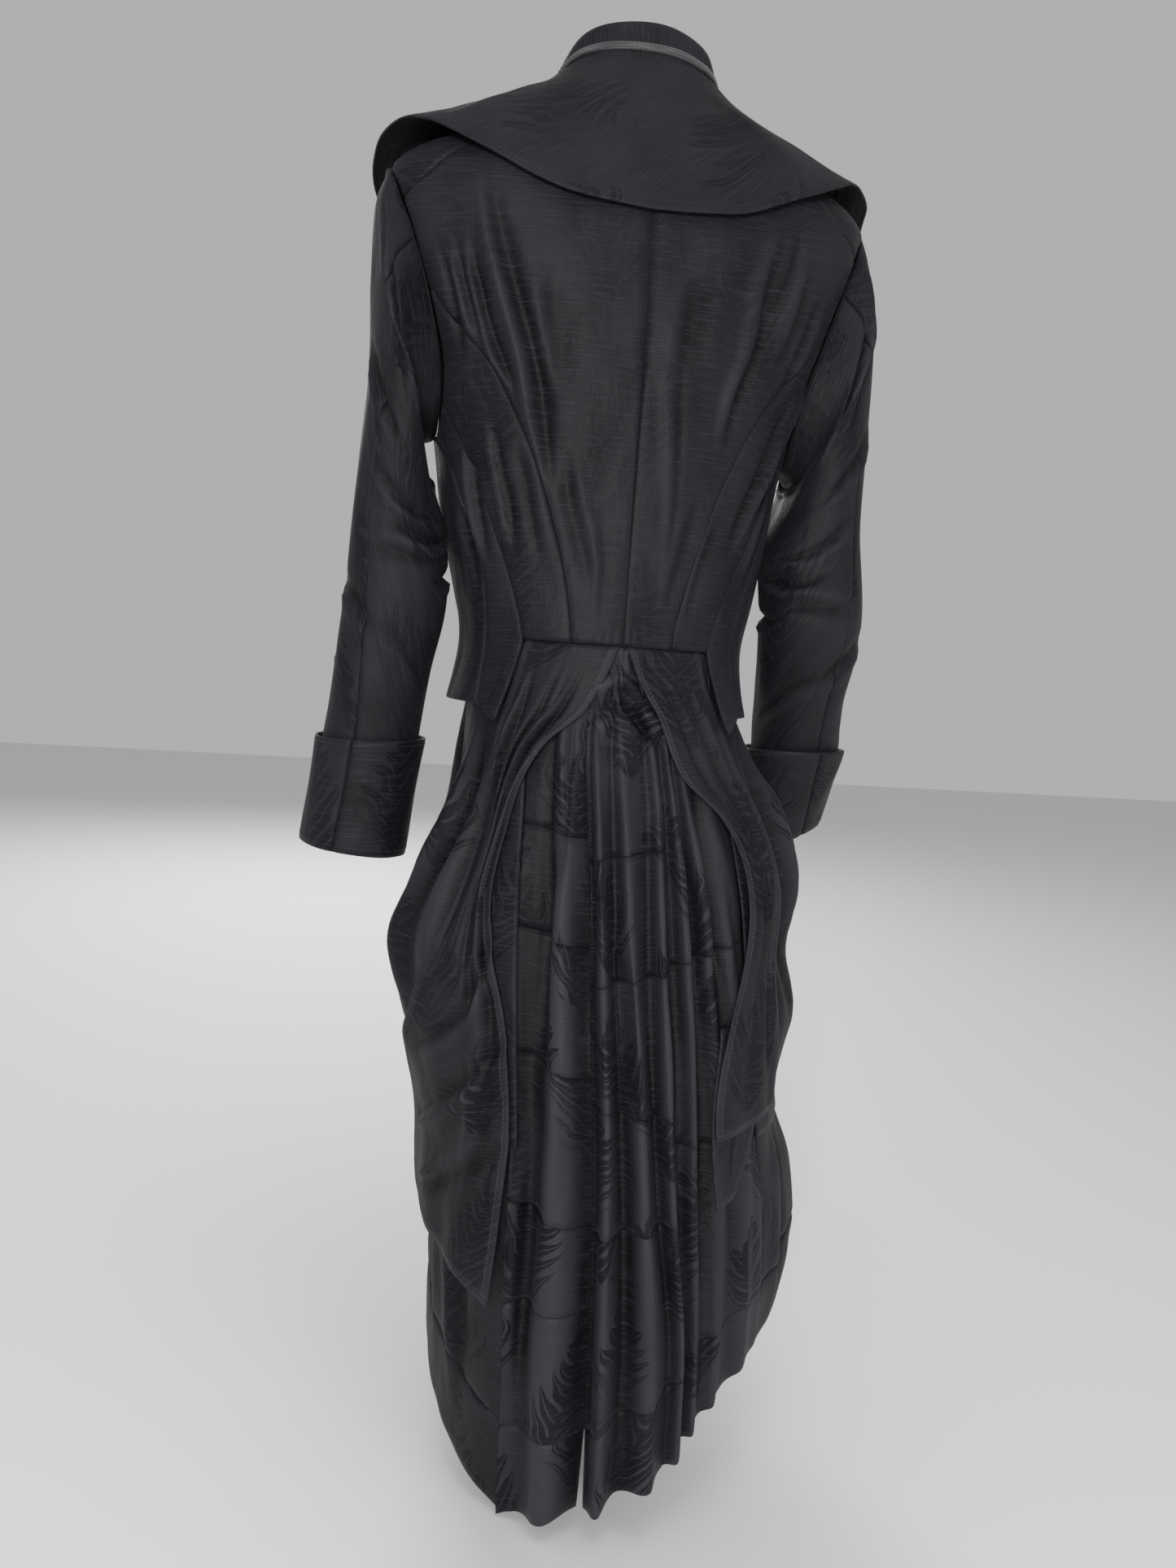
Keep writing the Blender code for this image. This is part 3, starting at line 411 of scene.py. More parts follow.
def placesOf(row, share, inner, outer, side, top):
    order = np.arange(len(inner))
    place = [np.interp(row, order, inner[:, k]) * (1 - share) + np.interp(row, order, outer[:, k]) * share
             for k in (0, 1)]
    if top is not None:
        along = np.linspace(0, 1, len(top))
        for k, turn in enumerate((side, 1)):
            straight = inner[0, k] * (1 - share) + outer[0, k] * share
            place[k] = place[k] + (np.interp(share, along, top[:, k] * turn) - straight) * np.clip(
                1 - row / (2 * fine), 0, 1)
    return place


def surfaceAt(surface, place):
    return surface(place[0].ravel(), place[1].ravel()).reshape(place[0].shape + (3,))


# writes values to a mesh as point attributes
def addAttributes(mesh, values):
    for name, value in values.items():
        layer = mesh.attributes.new(name, "FLOAT", "POINT")
        layer.data.foreach_set("value", value.astype(np.float32).ravel())


# how far a piece's points rise along its edges, and how far they lie in a turned hem
def edgeLift(point, distance, sewn, dip, hem):
    make = clothMake
    lift = turned = np.zeros(point.shape[:2])
    for edge, away in distance.items():
        along = distance["top"] if edge in ("inner", "outer") else distance["inner"]
        if edge in sewn:
            beat = np.sin(along / make["puckerLength"] * 2 * np.pi + 2.5 * ripple(point, 0.03, 5))
            beat = beat * (0.6 + ripple(point, 0.05, 9)) * np.exp(-away / make["puckerEnd"])
            beat = beat * (1 - np.exp(-(away / make["puckerStart"]) ** 2))
            lift = lift + min(make["pucker"], 2 * (dip or 1)) * beat
            lift = lift - (dip or make["dip"]) * np.exp(-(away / make["reach"]) ** 2)
            continue
        if hem:
            turned = np.maximum(turned, smooth((hem - away) / make["turnEdge"]))
        lift = lift - make["rounding"] * np.exp(-(away / make["turnEdge"]) ** 2)
    return lift + make["turning"] * turned, turned


# a piece of cloth between two edges; sewn names its sewn edges: top, bottom, inner, outer
def clothPiece(node, surface, inner, outer, sewn=("top", "bottom", "inner", "outer"), side=1, top=None,
               folds=None, cell=None, figure=1.0, finish=None, dip=None, tuck=None, hem=0.0, paintedLight=None,
               grain=0):
    make = clothMake
    inner, outer = inner * (side, 1), outer * (side, 1)
    rows = len(inner) - 1

    def grid(columns):
        return np.meshgrid(np.arange(rows + 1.0), np.linspace(0, 1, columns + 1), indexing="ij")

    row, share = grid(12)
    wide = lengthsOf(surfaceAt(surface, placesOf(row, share, inner, outer, side, top)))[0][:, -1]
    row, share = grid(max(3, math.ceil(wide.max() / (cell or make["cell"]))))
    start, end = ((-(tuck or make["tuck"]) if edge in sewn else make["tuck"]) / np.maximum(
        wide, make["least"])[:, None] for edge in ("inner", "outer"))
    place = placesOf(row, start + share * (1 - start - end), inner, outer, side, top)
    point = surfaceAt(surface, place)
    normal = np.cross(np.gradient(point, axis=1), np.gradient(point, axis=0)) * side
    normal /= np.maximum(np.linalg.norm(normal, axis=-1, keepdims=True), 1e-12)
    across, down = lengthsOf(point)
    distance = {"inner": across, "outer": across[:, -1:] - across, "top": down, "bottom": down[-1:] - down}
    worn = folds(place[0], place[1], point) if folds else np.zeros(point.shape[:2])
    # painted light and shade: paler on the folds' ridges, darker in their troughs as painted shade
    lightShare = paintedLight(place[0], place[1]) if paintedLight else make["flatLightShare"]
    lightShare = np.clip(lightShare + worn / make["paintedLight"] + make["mottle"] * ripple(point, 0.06, 31), 0, 1)
    lift, turned = edgeLift(point, distance, sewn, dip, hem)
    lift = lift + make["wrinkle"] * ripple(point * (1, 1, 0.45), 0.035, 3) + worn
    point = point + normal * lift[..., None]
    seamShow = make["dip"] / max(dip or make["dip"], 0.0005)     # a shallow seam shows as a thinner line
    far = np.full(point.shape[:2], make["far"])
    free, joined = (
        np.minimum.reduce([far] + [distance[edge] for edge in distance if (edge in sewn) == isSewn])
        for isSewn in (False, True))
    index = np.arange(point[..., 0].size).reshape(point.shape[:2])
    corners = ((slice(None, -1), slice(None, -1)), (slice(None, -1), slice(1, None)),
               (slice(1, None), slice(1, None)), (slice(1, None), slice(None, -1)))
    faces = np.stack([index[corner] for corner in corners], axis=-1).reshape(-1, 4)[:, ::side]
    mesh = bpy.data.meshes.new(node + "_cloth")
    mesh.from_pydata(point.reshape(-1, 3).tolist(), [], faces.tolist())
    mesh.shade_smooth()
    uv = np.stack([across - across[:, -1:] / 2, -down], axis=-1)
    if grain:      # threads that run level round the body, counted from the centre back or the centre front
        turn = np.arctan2(point[..., 0], grain * point[..., 1])
        uv = np.stack([turn * make["girth"], point[..., 2]], axis=-1)
    uv = (uv + np.array(clothLook["cutApart"]) * len(grids)).reshape(-1, 2)
    mesh.uv_layers.new(name="cloth").data.foreach_set("uv", uv[faces.ravel()].astype(np.float32).ravel())
    addAttributes(mesh, {"edge": free, "seam": joined * seamShow, "figure": np.full(point.shape[:2], figure),
                         "hem": turned, "paintedLight": lightShare})
    mesh.materials.append(finish or figuredCloth)
    piece = placed(node + "_cloth", mesh)
    thickness = piece.modifiers.new("wall", "SOLIDIFY")
    thickness.thickness = make["wall"]
    thickness.offset = -1.0
    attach(piece, "root")
    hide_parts(node)
    quads = [point[corner] for corner in corners]
    area = np.linalg.norm(np.cross(quads[2] - quads[0], quads[3] - quads[1]), axis=-1).sum() / 2
    flat = (float(across[:, -1].max()), float(down[-1].max()))
    area = float(np.clip(area, 0.3 * flat[0] * flat[1], flat[0] * flat[1]))
    grids[node] = (point, normal, distance)


# Bodice.
wall = clothMake["wall"]
waistZ = -0.405         # back waist seam
skirtTopZ = -0.405      # top of what hangs from the waist
# Sections of the bodice from the peplum up to the neck: half width, depth of back, front and widest point,
# how square the section is, how far its front lies below its back, and the ease of the wearer's right side.
bodiceSizes = {
    "z":      (-0.480, -0.440, -0.405, -0.360, -0.320, -0.250, -0.200, -0.150, -0.100, -0.065, -0.045, -0.030,
               -0.014, 0.000, 0.012),
    "width":  (0.132, 0.122, 0.118, 0.126, 0.136, 0.147, 0.156, 0.172, 0.187, 0.196, 0.197, 0.184,
               0.145, 0.095, 0.074),
    "back":   (0.152, 0.130, 0.117, 0.114, 0.113, 0.112, 0.112, 0.109, 0.102, 0.094, 0.088, 0.081,
               0.071, 0.062, 0.058),
    "front":  (-0.128, -0.114, -0.106, -0.112, -0.122, -0.134, -0.134, -0.122, -0.106, -0.094, -0.087, -0.082,
               -0.074, -0.066, -0.063),
    "middle": (0.008, 0.004, 0.000, 0.000, 0.000, 0.000, 0.004, 0.008, 0.012, 0.014, 0.014, 0.012,
               0.008, 0.002, 0.000),
    "square": (2.00, 2.00, 2.00, 2.05, 2.10, 2.25, 2.40, 2.60, 2.70, 2.60, 2.50, 2.35,
               2.20, 2.05, 2.00),
    "drop":   (0.000, 0.000, 0.000, 0.000, 0.002, 0.006, 0.010, 0.016, 0.022, 0.028, 0.034, 0.040,
               0.048, 0.056, 0.060),
    "right":  (0.008, 0.009, 0.010, 0.009, 0.004, 0.000, 0.000, 0.000, 0.000, 0.000, 0.000, 0.000,
               0.000, 0.000, 0.000),
}
# Seams of the bodice's left half as (angle, height) places; the right half mirrors them.
centreBack = ((0, 0.004), (0, -0.13), (0, -0.27), (0, waistZ))
yokeSeam = ((33, 0.004), (39, -0.030), (50, -0.056))
princessSeam = ((56, -0.166), (45.5, -0.192), (33, -0.248), (25, -0.312), (21.5, -0.360),
                 (20, waistZ))
sideBackSeam = ((62, -0.255), (52, -0.300), (44.5, -0.355), (40, waistZ))
sideSeam = ((72, -0.268), (63, -0.310), (58, -0.355), (60, waistZ), (60, -0.458))
peplumPoint = (48, -0.470)
neckEdge = ((33, 0.004), (60, 0.004), (92, 0.004), (120, 0.000), (145, -0.014), (160, -0.045), (167, -0.080),
             (172, -0.120), (177, -0.190), (180, -0.235))
frontEdge = ((180, -0.235), (180, -0.320), (180, waistZ), (178, -0.462))
# The armhole is an oval in angles and heights.
armholeOval = {"angle": 92, "z": -0.140, "half_angle": 27, "half_height": 0.103}
clockStep = 18          # degrees round the armhole and the sleeve to one column of faces
yokeClock, princessClock, sideBackClock, sideClock = 52, 88, 142, 178
# the right front laps over the left one
lapSizes = {"angle": 9, "lift": 0.0050, "sink": -0.0016, "top_z": -0.16, "full_z": -0.23}
# drag folds of the worn coat, in degrees and millimetres
bodiceFolds = (
    ((34, -40, 31, -92, 29, -145, 27, -204, 26, -250, 24, -300), 7.5, -4.6, 0.75),
    ((41, -105, 41, -147, 40, -185, 34, -225), 5, -3.4, 0.7),
    ((47, -105, 46, -154, 45, -195), 4.5, -2.6, 0.6),
    ((54, -110, 53, -150, 55, -200), 5, -2.4, -0.6),
    ((45, -225, 44, -264, 41, -301, 40, -350), 5, -3, 0.7),
    ((36, -250, 33, -300, 30, -350), 6, -2.2, -0.6),
    ((59, -250, 56, -301, 53, -350), 6, -3.4, 0.6),
    ((66, -290, 63, -330, 62, -380), 6, -2.8, 0.6),
    ((18, -120, 19, -170, 20, -225), 8.5, -1.8, 0.6),
    ((20, -255, 19, -299, 15, -340, 12, -375), 7, -2, -0.6),
    ((9, -300, 8, -345, 9, -390), 6, -1.2, 0.5),
    ((-4, -105, -4, -181, -7, -240, -10, -292, -12, -345), 4.6, 2, -0.8),
    ((-9, -105, -9, -150, -10, -200), 8, -1.6, 0.5),
    ((-28, -60, -27, -129, -29, -172, -27, -217, -26, -262), 6.5, -4.2, 0.75),
    ((-33, -58, -33, -97, -31, -139, -30, -175), 4.5, -2.8, -0.6),
    ((-40, -90, -41, -150, -39, -190), 6, -2.6, 0.6),
    ((-48, -110, -49, -150, -46, -200), 5, -2.4, -0.6),
    ((-76, -139, -75, -165, -72, -200, -63, -235, -55, -275, -47, -310), 7, -4.6, 0.75),
    ((-56, -184, -53, -214, -48, -257, -41, -300, -37, -340), 5.5, -3.6, -0.7),
    ((-64, -260, -58, -310, -53, -360), 6, -3.4, 0.6),
    ((-20, -280, -18, -330, -15, -380), 6, -1.8, 0.6),
    ((-30, -290, -27, -340, -25, -390), 5, -2.4, 0.6),
    ((150, -150, 140, -215, 128, -270), 8, -3.4, 0.6),
    ((-150, -160, -141, -215, -126, -285), 7, -3.8, 0.6),
    ((172, -300, 150, -330, 128, -345), 6, -2.6, 0.6),
    ((-170, -285, -152, -310, -132, -330), 6, -2.8, -0.6),
    ((170, -372, 150, -385, 120, -380), 5, -2.2, 0.6),
    ((-168, -360, -146, -378, -124, -376), 5, -2.4, 0.6),
    ((122, -290, 116, -340, 112, -400), 6, -2.6, 0.6),
    ((-120, -280, -115, -345, -113, -400), 7, -2.8, -0.6),
    ((100, -300, 97, -350, 98, -410), 6, -2.8, 0.6),
    ((-98, -290, -96, -350, -99, -410), 6, -2.6, 0.6),
)


# a point on a table's section at height z, lift metres outside it
def section(table, angle, z, lift, square=2.0):
    turn = np.radians(angle)
    sine, cosine = np.sin(turn), np.cos(turn)
    middle = sized(table, "middle", z)
    depth = np.where(cosine > 0, sized(table, "back", z) - middle, middle - sized(table, "front", z))
    x = (sized(table, "width", z) + lift) * np.sign(sine) * np.abs(sine) ** (2 / square)
    y = middle + (depth + lift) * np.sign(cosine) * np.abs(cosine) ** (2 / square)
    return x, y


# how much of a side's swell an angle takes: broad towards the back, short towards the front
def sideBell(angle):
    past = np.abs(angle) - 90
    return np.exp(-(past / np.where(past > 0, 15, 30)) ** 2)


# the bodice's outer surface
def bodice(angle, z, lift=0.0):
    ease = np.where(angle < 0, np.clip(sized(bodiceSizes, "right", z), 0, None), 0.0)
    x, y = section(bodiceSizes, angle, z, lift + ease * sideBell(angle), sized(bodiceSizes, "square", z))
    forward = (1 - np.cos(np.radians(angle))) / 2
    return np.stack(np.broadcast_arrays(x, y, z - sized(bodiceSizes, "drop", z) * forward**2), axis=-1)


# the armhole's edge at a clock angle: 0 at the shoulder, 90 at the back, 180 under the arm
def armholePlace(clock):
    turn = np.radians(clock)
    sine = np.sin(turn)
    angle = armholeOval["angle"] - armholeOval["half_angle"] * np.sign(sine) * np.abs(sine) ** 0.8
    return np.stack([angle, armholeOval["z"] + armholeOval["half_height"] * np.cos(turn)], axis=-1)


# the armhole's edge from one clock angle to another, in even steps
def armhole(start, end):
    steps = round(abs(end - start) / clockStep) * fine
    return armholePlace(np.linspace(start, end, steps + 1))


# how much of the lap's lift a place near the centre front takes
def lapShare(angle, z):
    across = np.clip((np.abs(angle) - 155) / 12, 0, 1)
    return across * np.clip((lapSizes["top_z"] - z) / (lapSizes["top_z"] - lapSizes["full_z"]), 0, 1)


# the surface of one front: the right one runs past the centre and stands off the left one
def fronts(hand):
    def surface(angle, z):
        turned = -angle
        if hand > 0:
            return bodice(turned, z, lapSizes["sink"] * lapShare(turned, z))
        share = lapShare(turned, z)
        past = turned - lapSizes["angle"] * share * np.clip((np.abs(turned) - 155) / 25, 0, 1)
        return bodice(past, z, lapSizes["lift"] * share)
    return surface


# the folds at a place; the fronts count their angles the other way round
def bodyFolds(first, second, point):
    angle = np.abs(first) * np.where(point[..., 0] < 0, -1, 1)
    return foldLift(bodiceFolds, angle, second * 1000, foldScale)


def makeBodice():
    corner = [tuple(armholePlace(clock)) for clock in (yokeClock, princessClock, sideBackClock, sideClock)]
    yoke = line(yokeSeam + (corner[0],), 3 * fine)
    backArm = armhole(yokeClock, princessClock)
    princess = line((corner[1],) + princessSeam, 10 * fine)
    underArm = armhole(princessClock, sideBackClock)
    sideBack = line((corner[2],) + sideBackSeam, 7 * fine)
    peplum = line((sideBackSeam[-1], peplumPoint), 2 * fine)
    sideEdge = line((corner[3],) + sideSeam, 9 * fine)
    overArm = armhole(yokeClock, sideClock - 360)
    frontTop = line(neckEdge, len(overArm) - 1)
    frontLow = line(frontEdge, 9 * fine)
    for name, hand in (("left", 1), ("right", -1)):
        clothPiece(f"back_{name}", bodice, line(centreBack, 15 * fine), chain(yoke, backArm, princess),
                   side=hand, folds=bodyFolds, figure=0.32, grain=1)
        clothPiece(f"side_back_{name}", bodice, princess, chain(underArm, sideBack), side=hand,
                   folds=bodyFolds, figure=0.5, grain=1)
        clothPiece(f"side_{name}", bodice, chain(sideBack, peplum), sideEdge, ("top", "inner", "outer"), hand,
                   armhole(sideBackClock, sideClock), bodyFolds, figure=0.5, grain=1)
        clothPiece(f"front_{name}", fronts(hand), chain(frontTop, frontLow), chain(overArm, sideEdge),
                   ("top", "outer"), -hand, yoke, bodyFolds, figure=0.5, grain=-1)


makeBodice()
print("bodice made")


# Sleeves and cuffs.
# Sections of each sleeve below its head: its outer and its inner point, and half its depth across them.
sleeveLeft = {
    "out_x": (0.204, 0.206, 0.203, 0.206, 0.213, 0.221, 0.228, 0.242),
    "out_y": (0.014, 0.017, 0.010, 0.008, 0.010, 0.010, 0.006, -0.006),
    "out_z": (-0.070, -0.130, -0.210, -0.290, -0.370, -0.440, -0.500, -0.590),
    "in_x":  (0.160, 0.154, 0.145, 0.138, 0.134, 0.142, 0.149, 0.156),
    "in_y":  (0.004, 0.014, 0.027, 0.036, 0.034, 0.020, 0.006, -0.002),
    "in_z":  (-0.254, -0.274, -0.300, -0.332, -0.382, -0.440, -0.499, -0.600),
    "depth": (0.067, 0.061, 0.051, 0.044, 0.042, 0.041, 0.041, 0.045),
}
sleeveRight = {
    "out_x": (0.203, 0.214, 0.217, 0.216, 0.223, 0.226, 0.240, 0.246),
    "out_y": (0.014, 0.018, 0.014, 0.015, 0.035, 0.015, -0.018, -0.062),
    "out_z": (-0.070, -0.125, -0.205, -0.285, -0.370, -0.440, -0.490, -0.562),
    "in_x":  (0.160, 0.154, 0.145, 0.138, 0.136, 0.147, 0.161, 0.172),
    "in_y":  (0.004, 0.014, 0.028, 0.040, 0.048, 0.012, -0.030, -0.072),
    "in_z":  (-0.254, -0.274, -0.300, -0.332, -0.378, -0.436, -0.494, -0.598),
    "depth": (0.067, 0.061, 0.051, 0.044, 0.043, 0.042, 0.041, 0.045),
}
sleeveTurn = (0.0, 0.3, 0.7, 1, 1, 1, 1, 1)     # how much each section turns with its two points
sleeveSeams = (70, 286)     # round the sleeve from its outer point by its back, in degrees
sleeveScale = (0.00085, 0.56)       # metres to a degree round a sleeve and to its whole length
sleeveFoldStart = 0.06      # share of the length over which the folds grow below the armhole
sleeveEnd = 0.985           # share of the length at which its cloth ends inside the cuff
sleeveClear = {"gap": 0.0004, "share": 0.03}    # how far a sleeve stands off the body, and from where
cuffSizes = {"top": 0.865, "bottom": 0.996, "lift_top": 0.0050, "lift_bottom": 0.0006}
# sleeve folds, in degrees and shares of the length
sleeveFolds = {
    "left": (
        ((60, 0.1, 95, 0.16, 150, 0.22), 8, -5, 0.7),
        ((30, 0.06, 60, 0.17, 110, 0.27), 7, -3.6, -0.6),
        ((150, 0.18, 190, 0.16, 230, 0.2), 7, -4, 0.7),
        ((20, 0.3, 70, 0.34, 120, 0.36), 7, -3, 0.6),
        ((60, 0.42, 110, 0.45, 165, 0.44), 6, -3.4, 0.7),
        ((90, 0.5, 150, 0.5, 200, 0.47), 6, -4, 0.7),
        ((60, 0.56, 110, 0.545, 170, 0.53), 6, -3, -0.6),
        ((150, 0.58, 200, 0.56, 260, 0.57), 6, -3.6, 0.6),
        ((0, 0.6, 50, 0.63, 90, 0.7), 7, -2.6, 0.6),
        ((70, 0.66, 120, 0.7, 160, 0.78), 6, -2.6, 0.6),
        ((-60, 0.45, -20, 0.47, 20, 0.44), 7, -2.6, 0.6),
        ((-80, 0.2, -50, 0.24, -30, 0.33), 8, -3, 0.6),
        ((225, 0.3, 260, 0.36, 290, 0.38), 8, -3.6, 0.6),
        ((-60, 0.66, -20, 0.7, 20, 0.72), 6, -2.2, 0.6),
    ),
    "right": (
        ((60, 0.11, 95, 0.18, 150, 0.23), 8, -5.2, 0.7),
        ((25, 0.07, 60, 0.2, 95, 0.3), 7, -3.6, -0.6),
        ((140, 0.17, 185, 0.15, 230, 0.21), 7, -4, 0.7),
        ((30, 0.33, 80, 0.36, 130, 0.35), 7, -3.2, 0.6),
        ((70, 0.44, 120, 0.47, 175, 0.45), 6, -4.2, 0.7),
        ((90, 0.53, 145, 0.53, 200, 0.5), 6, -4.4, 0.7),
        ((60, 0.6, 115, 0.58, 170, 0.57), 6, -3.4, -0.6),
        ((150, 0.62, 205, 0.6, 265, 0.6), 6, -3.6, 0.6),
        ((10, 0.63, 60, 0.67, 100, 0.74), 7, -2.8, 0.6),
        ((80, 0.7, 125, 0.74, 165, 0.81), 6, -2.6, 0.6),
        ((-60, 0.48, -20, 0.5, 20, 0.47), 7, -2.8, 0.6),
        ((-80, 0.22, -50, 0.26, -30, 0.34), 8, -3, 0.6),
        ((225, 0.32, 260, 0.37, 290, 0.4), 8, -3.4, 0.6),
    ),
}


# how far out the bodice's side lies at a depth and a height
def bodySide(y, z, side):
    width, back, front, middle, square, right = (sized(bodiceSizes, name, z) for name in (
        "width", "back", "front", "middle", "square", "right"))
    reach = np.clip(np.abs(y - middle) / np.where(y > middle, back - middle, middle - front), 0, 1)
    ease = np.clip(right, 0, None) if side < 0 else 0.0
    return (width + ease) * (1 - reach**square) ** (1 / square)


# values at the shares of a length, through rings of values at its stations
def ringCurve(stations, rings, share):
    slopes = np.gradient(rings, stations, axis=0)
    i = np.clip(np.searchsorted(stations, share) - 1, 0, len(stations) - 2)
    step = stations[i + 1] - stations[i]
    low, high = ((k, np.arange(rings.shape[1])) for k in (i, i + 1))
    start, end = slopes[low] * step, slopes[high] * step
    return hermite((share - stations[i]) / step, rings[low], rings[high], start, end)


# the left armhole's edge at a clock angle, as a point
def armholePoint(clock):
    place = armholePlace(clock)
    return bodice(place[..., 0], place[..., 1])


# a sleeve's outer surface: angle round it from its outer point by its back, and share of its length
def sleeveSurface(table, side):
    out, inside = (np.stack([np.array(table[end + axis]) for axis in "xyz"], axis=-1)
                   for end in ("out_", "in_"))
    middle, half = (out + inside) / 2, (out - inside) / 2
    across = np.stack([-half[:, 1] * sleeveTurn, half[:, 0], np.zeros(len(half))], axis=-1)
    across *= (np.array(table["depth"]) / np.linalg.norm(across, axis=1))[:, None]
    stations = np.concatenate([[0.0], np.linspace(0.10, 1.0, len(half))])

    def surface(angle, share, lift=0.0):
        clock = np.radians(angle * side)
        edge = armholePoint(angle * side)
        rings = [edge]
        for k in range(len(half)):
            spoke = np.cos(clock)[:, None] * half[k] + np.sin(clock)[:, None] * across[k]
            wider = 1 + np.broadcast_to(lift, clock.shape) / np.linalg.norm(half[k])
            rings.append(middle[k] + spoke * wider[:, None])
        rings = np.stack(rings)
        point = np.stack([ringCurve(stations, rings[..., k], share) for k in range(3)], axis=-1)
        gap = sleeveClear["gap"] * np.clip(share / sleeveClear["share"], 0, 1)
        free = bodySide(point[:, 1], point[:, 2], side) + gap
        point[:, 0] = np.where(share > 0, np.maximum(point[:, 0], free), point[:, 0])
        return point * np.array([side, 1.0, 1.0])
    return surface


# the two edges of a lengthwise strip of a sleeve
def strip(first, last, start, end, rows):
    shares = np.linspace(start, end, rows + 1)
    return [np.stack([np.full(rows + 1, float(angle)), shares], axis=-1) for angle in (first, last)]


def makeSleeves():
    for name, hand, table in (("left", 1, sleeveLeft), ("right", -1, sleeveRight)):
        surface = sleeveSurface(table, hand)
        back, front = sleeveSeams

        def folds(angle, share, point):
            turned = np.where(angle * hand < front - 360, angle * hand + 360, angle * hand)
            lift = sum(foldLift(sleeveFolds[name], way, share, sleeveScale) for way in (turned, turned - 360))
            return lift * smooth(share / sleeveFoldStart)

        for part, first, last in (("upper", front - 360, back), ("under", back, front)):
            edges = strip(last, first, 0.0, sleeveEnd, 14 * fine)
            clothPiece(f"sleeve_{part}_{name}", surface, edges[0], edges[1], ("top", "inner", "outer"), hand,
                       folds=folds, figure=0.8)
        makeCuff(name, surface, hand)


# a turned-back cuff, standing a little off the sleeve at its upper edge
def makeCuff(name, surface, hand):
    def flared(angle, share):
        down = (share - cuffSizes["top"]) / (cuffSizes["bottom"] - cuffSizes["top"])
        lift = cuffSizes["lift_top"] * (1 - down) + cuffSizes["lift_bottom"] * down
        return surface(angle, share, wall + lift)

    first, last = sleeveSeams[0], sleeveSeams[0] - 360
    edges = strip(first, last + 0.3, cuffSizes["top"], cuffSizes["bottom"], 3 * fine)
    clothPiece(f"cuff_{name}", flared, edges[0], edges[1], ("inner", "outer"), hand, figure=1.0)


makeSleeves()
print("sleeves and cuffs made")


# Stand, cape collar and tape.
# Cape collar against the angle from the centre back: its roll on the stand and its outer edge.
collarSizes = {
    "angle":  (0, 15, 30, 46, 60, 76, 92, 110, 130, 145, 160, 170, 177),
    "roll_z": (0.050, 0.050, 0.050, 0.049, 0.047, 0.043, 0.036, 0.022, 0.002, -0.014, -0.045, -0.100, -0.190),
    "edge_z": (-0.078, -0.070, -0.052, -0.038, -0.031, -0.030, -0.040, -0.075, -0.130, -0.170, -0.208, -0.226,
               -0.236),
    "lift":   (0.008, 0.008, 0.009, 0.010, 0.011, 0.012, 0.013, 0.012, 0.010, 0.009, 0.009, 0.008, 0.007),
    "rise":   (0.000, 0.000, 0.003, 0.008, 0.014, 0.020, 0.022, 0.012, 0.004, 0.000, 0.000, 0.000, 0.000),
}
standSizes = {"top_z": 0.078, "side_fall": 0.022, "end_fall": 0.012, "width": 0.066, "depth": 0.050,
              "end_angle": 118, "foot_z": 0.002, "foot_angle": (20, 36, 56, 84),
              "foot_inset": (0.0019, 0.0034, 0.0050, 0.0085), "seat_gap": 0.0007}
# the tape: share of the stand's angle it takes, its lower edge at the middle and the ends, and its width
tapeSizes = {"reach": 0.8, "middle": 0.70, "end": 0.76, "wide": 0.08, "off": 0.0004, "cell": 0.0015}
collarFolds = (
    ((-70, 0.15, -66, 0.5, -60, 0.85), 10, -1.6, 0.6),
    ((66, 0.15, 60, 0.5, 56, 0.9), 11, -1.4, 0.6),
    ((-30, 0.1, -20, 0.35, -4, 0.55), 12, -1.2, 0.5),
    ((26, 0.2, 18, 0.5, 12, 0.85), 12, -1, 0.5),
    ((108, 0.1, 112, 0.4, 128, 0.6), 10, -2, 0.6),
    ((-106, 0.1, -114, 0.4, -126, 0.65), 10, -2, 0.6),
)


# the collar stand, from its foot inside the neck edge at 0 to its top edge at 1
def standSurface(angle, share, lift=0.0):
    turn = np.radians(angle)
    inside = np.interp(np.abs(angle), standSizes["foot_angle"], standSizes["foot_inset"])
    foot = bodice(angle, np.full_like(share, standSizes["foot_z"]), lift - inside)
    fall = standSizes["side_fall"] * (angle / 90) ** 2
    top = np.stack([(standSizes["width"] + lift) * np.sin(turn), (standSizes["depth"] + lift) * np.cos(turn),
                    standSizes["top_z"] - fall - standSizes["end_fall"] * (np.abs(angle) / 90) ** 3], axis=-1)
    return foot + (top - foot) * share[..., None]


# the cape collar as it lies over the shoulders and down the fronts
def cape(angle, share):
    place = np.abs(angle)
    rollZ, edgeZ, lift, rise = (curve(collarSizes["angle"], collarSizes[column], place) for column in
                                  ("roll_z", "edge_z", "lift", "rise"))
    neckZ = np.minimum(0.008, rollZ)
    z = neckZ + (edgeZ - neckZ) * share
    overLap = np.where(angle < 0, lapSizes["lift"] * lapShare(angle, z), 0.0)
    point = bodice(angle, z, lift * (0.62 + 0.38 * share) + overLap)
    point[..., 2] += (rollZ - neckZ) * (1 - share) ** 1.5 + rise * share
    return point


# the cape collar, from its roll against the stand at 0 to its outer edge at 1
def collarSurface(angle, share):
    start = np.zeros_like(share)
    roll = cape(angle, start)
    footZ, topZ = (standSurface(angle, start + end)[..., 2] for end in (0, 1))
    up = np.clip((roll[..., 2] - footZ) / (topZ - footZ), 0, 0.9)
    seat = standSurface(angle, up, wall + standSizes["seat_gap"])
    near = np.clip((108 - np.abs(angle)) / 16, 0, 1) * (1 - share) ** 3
    return cape(angle, share) + (seat - roll) * near[..., None]


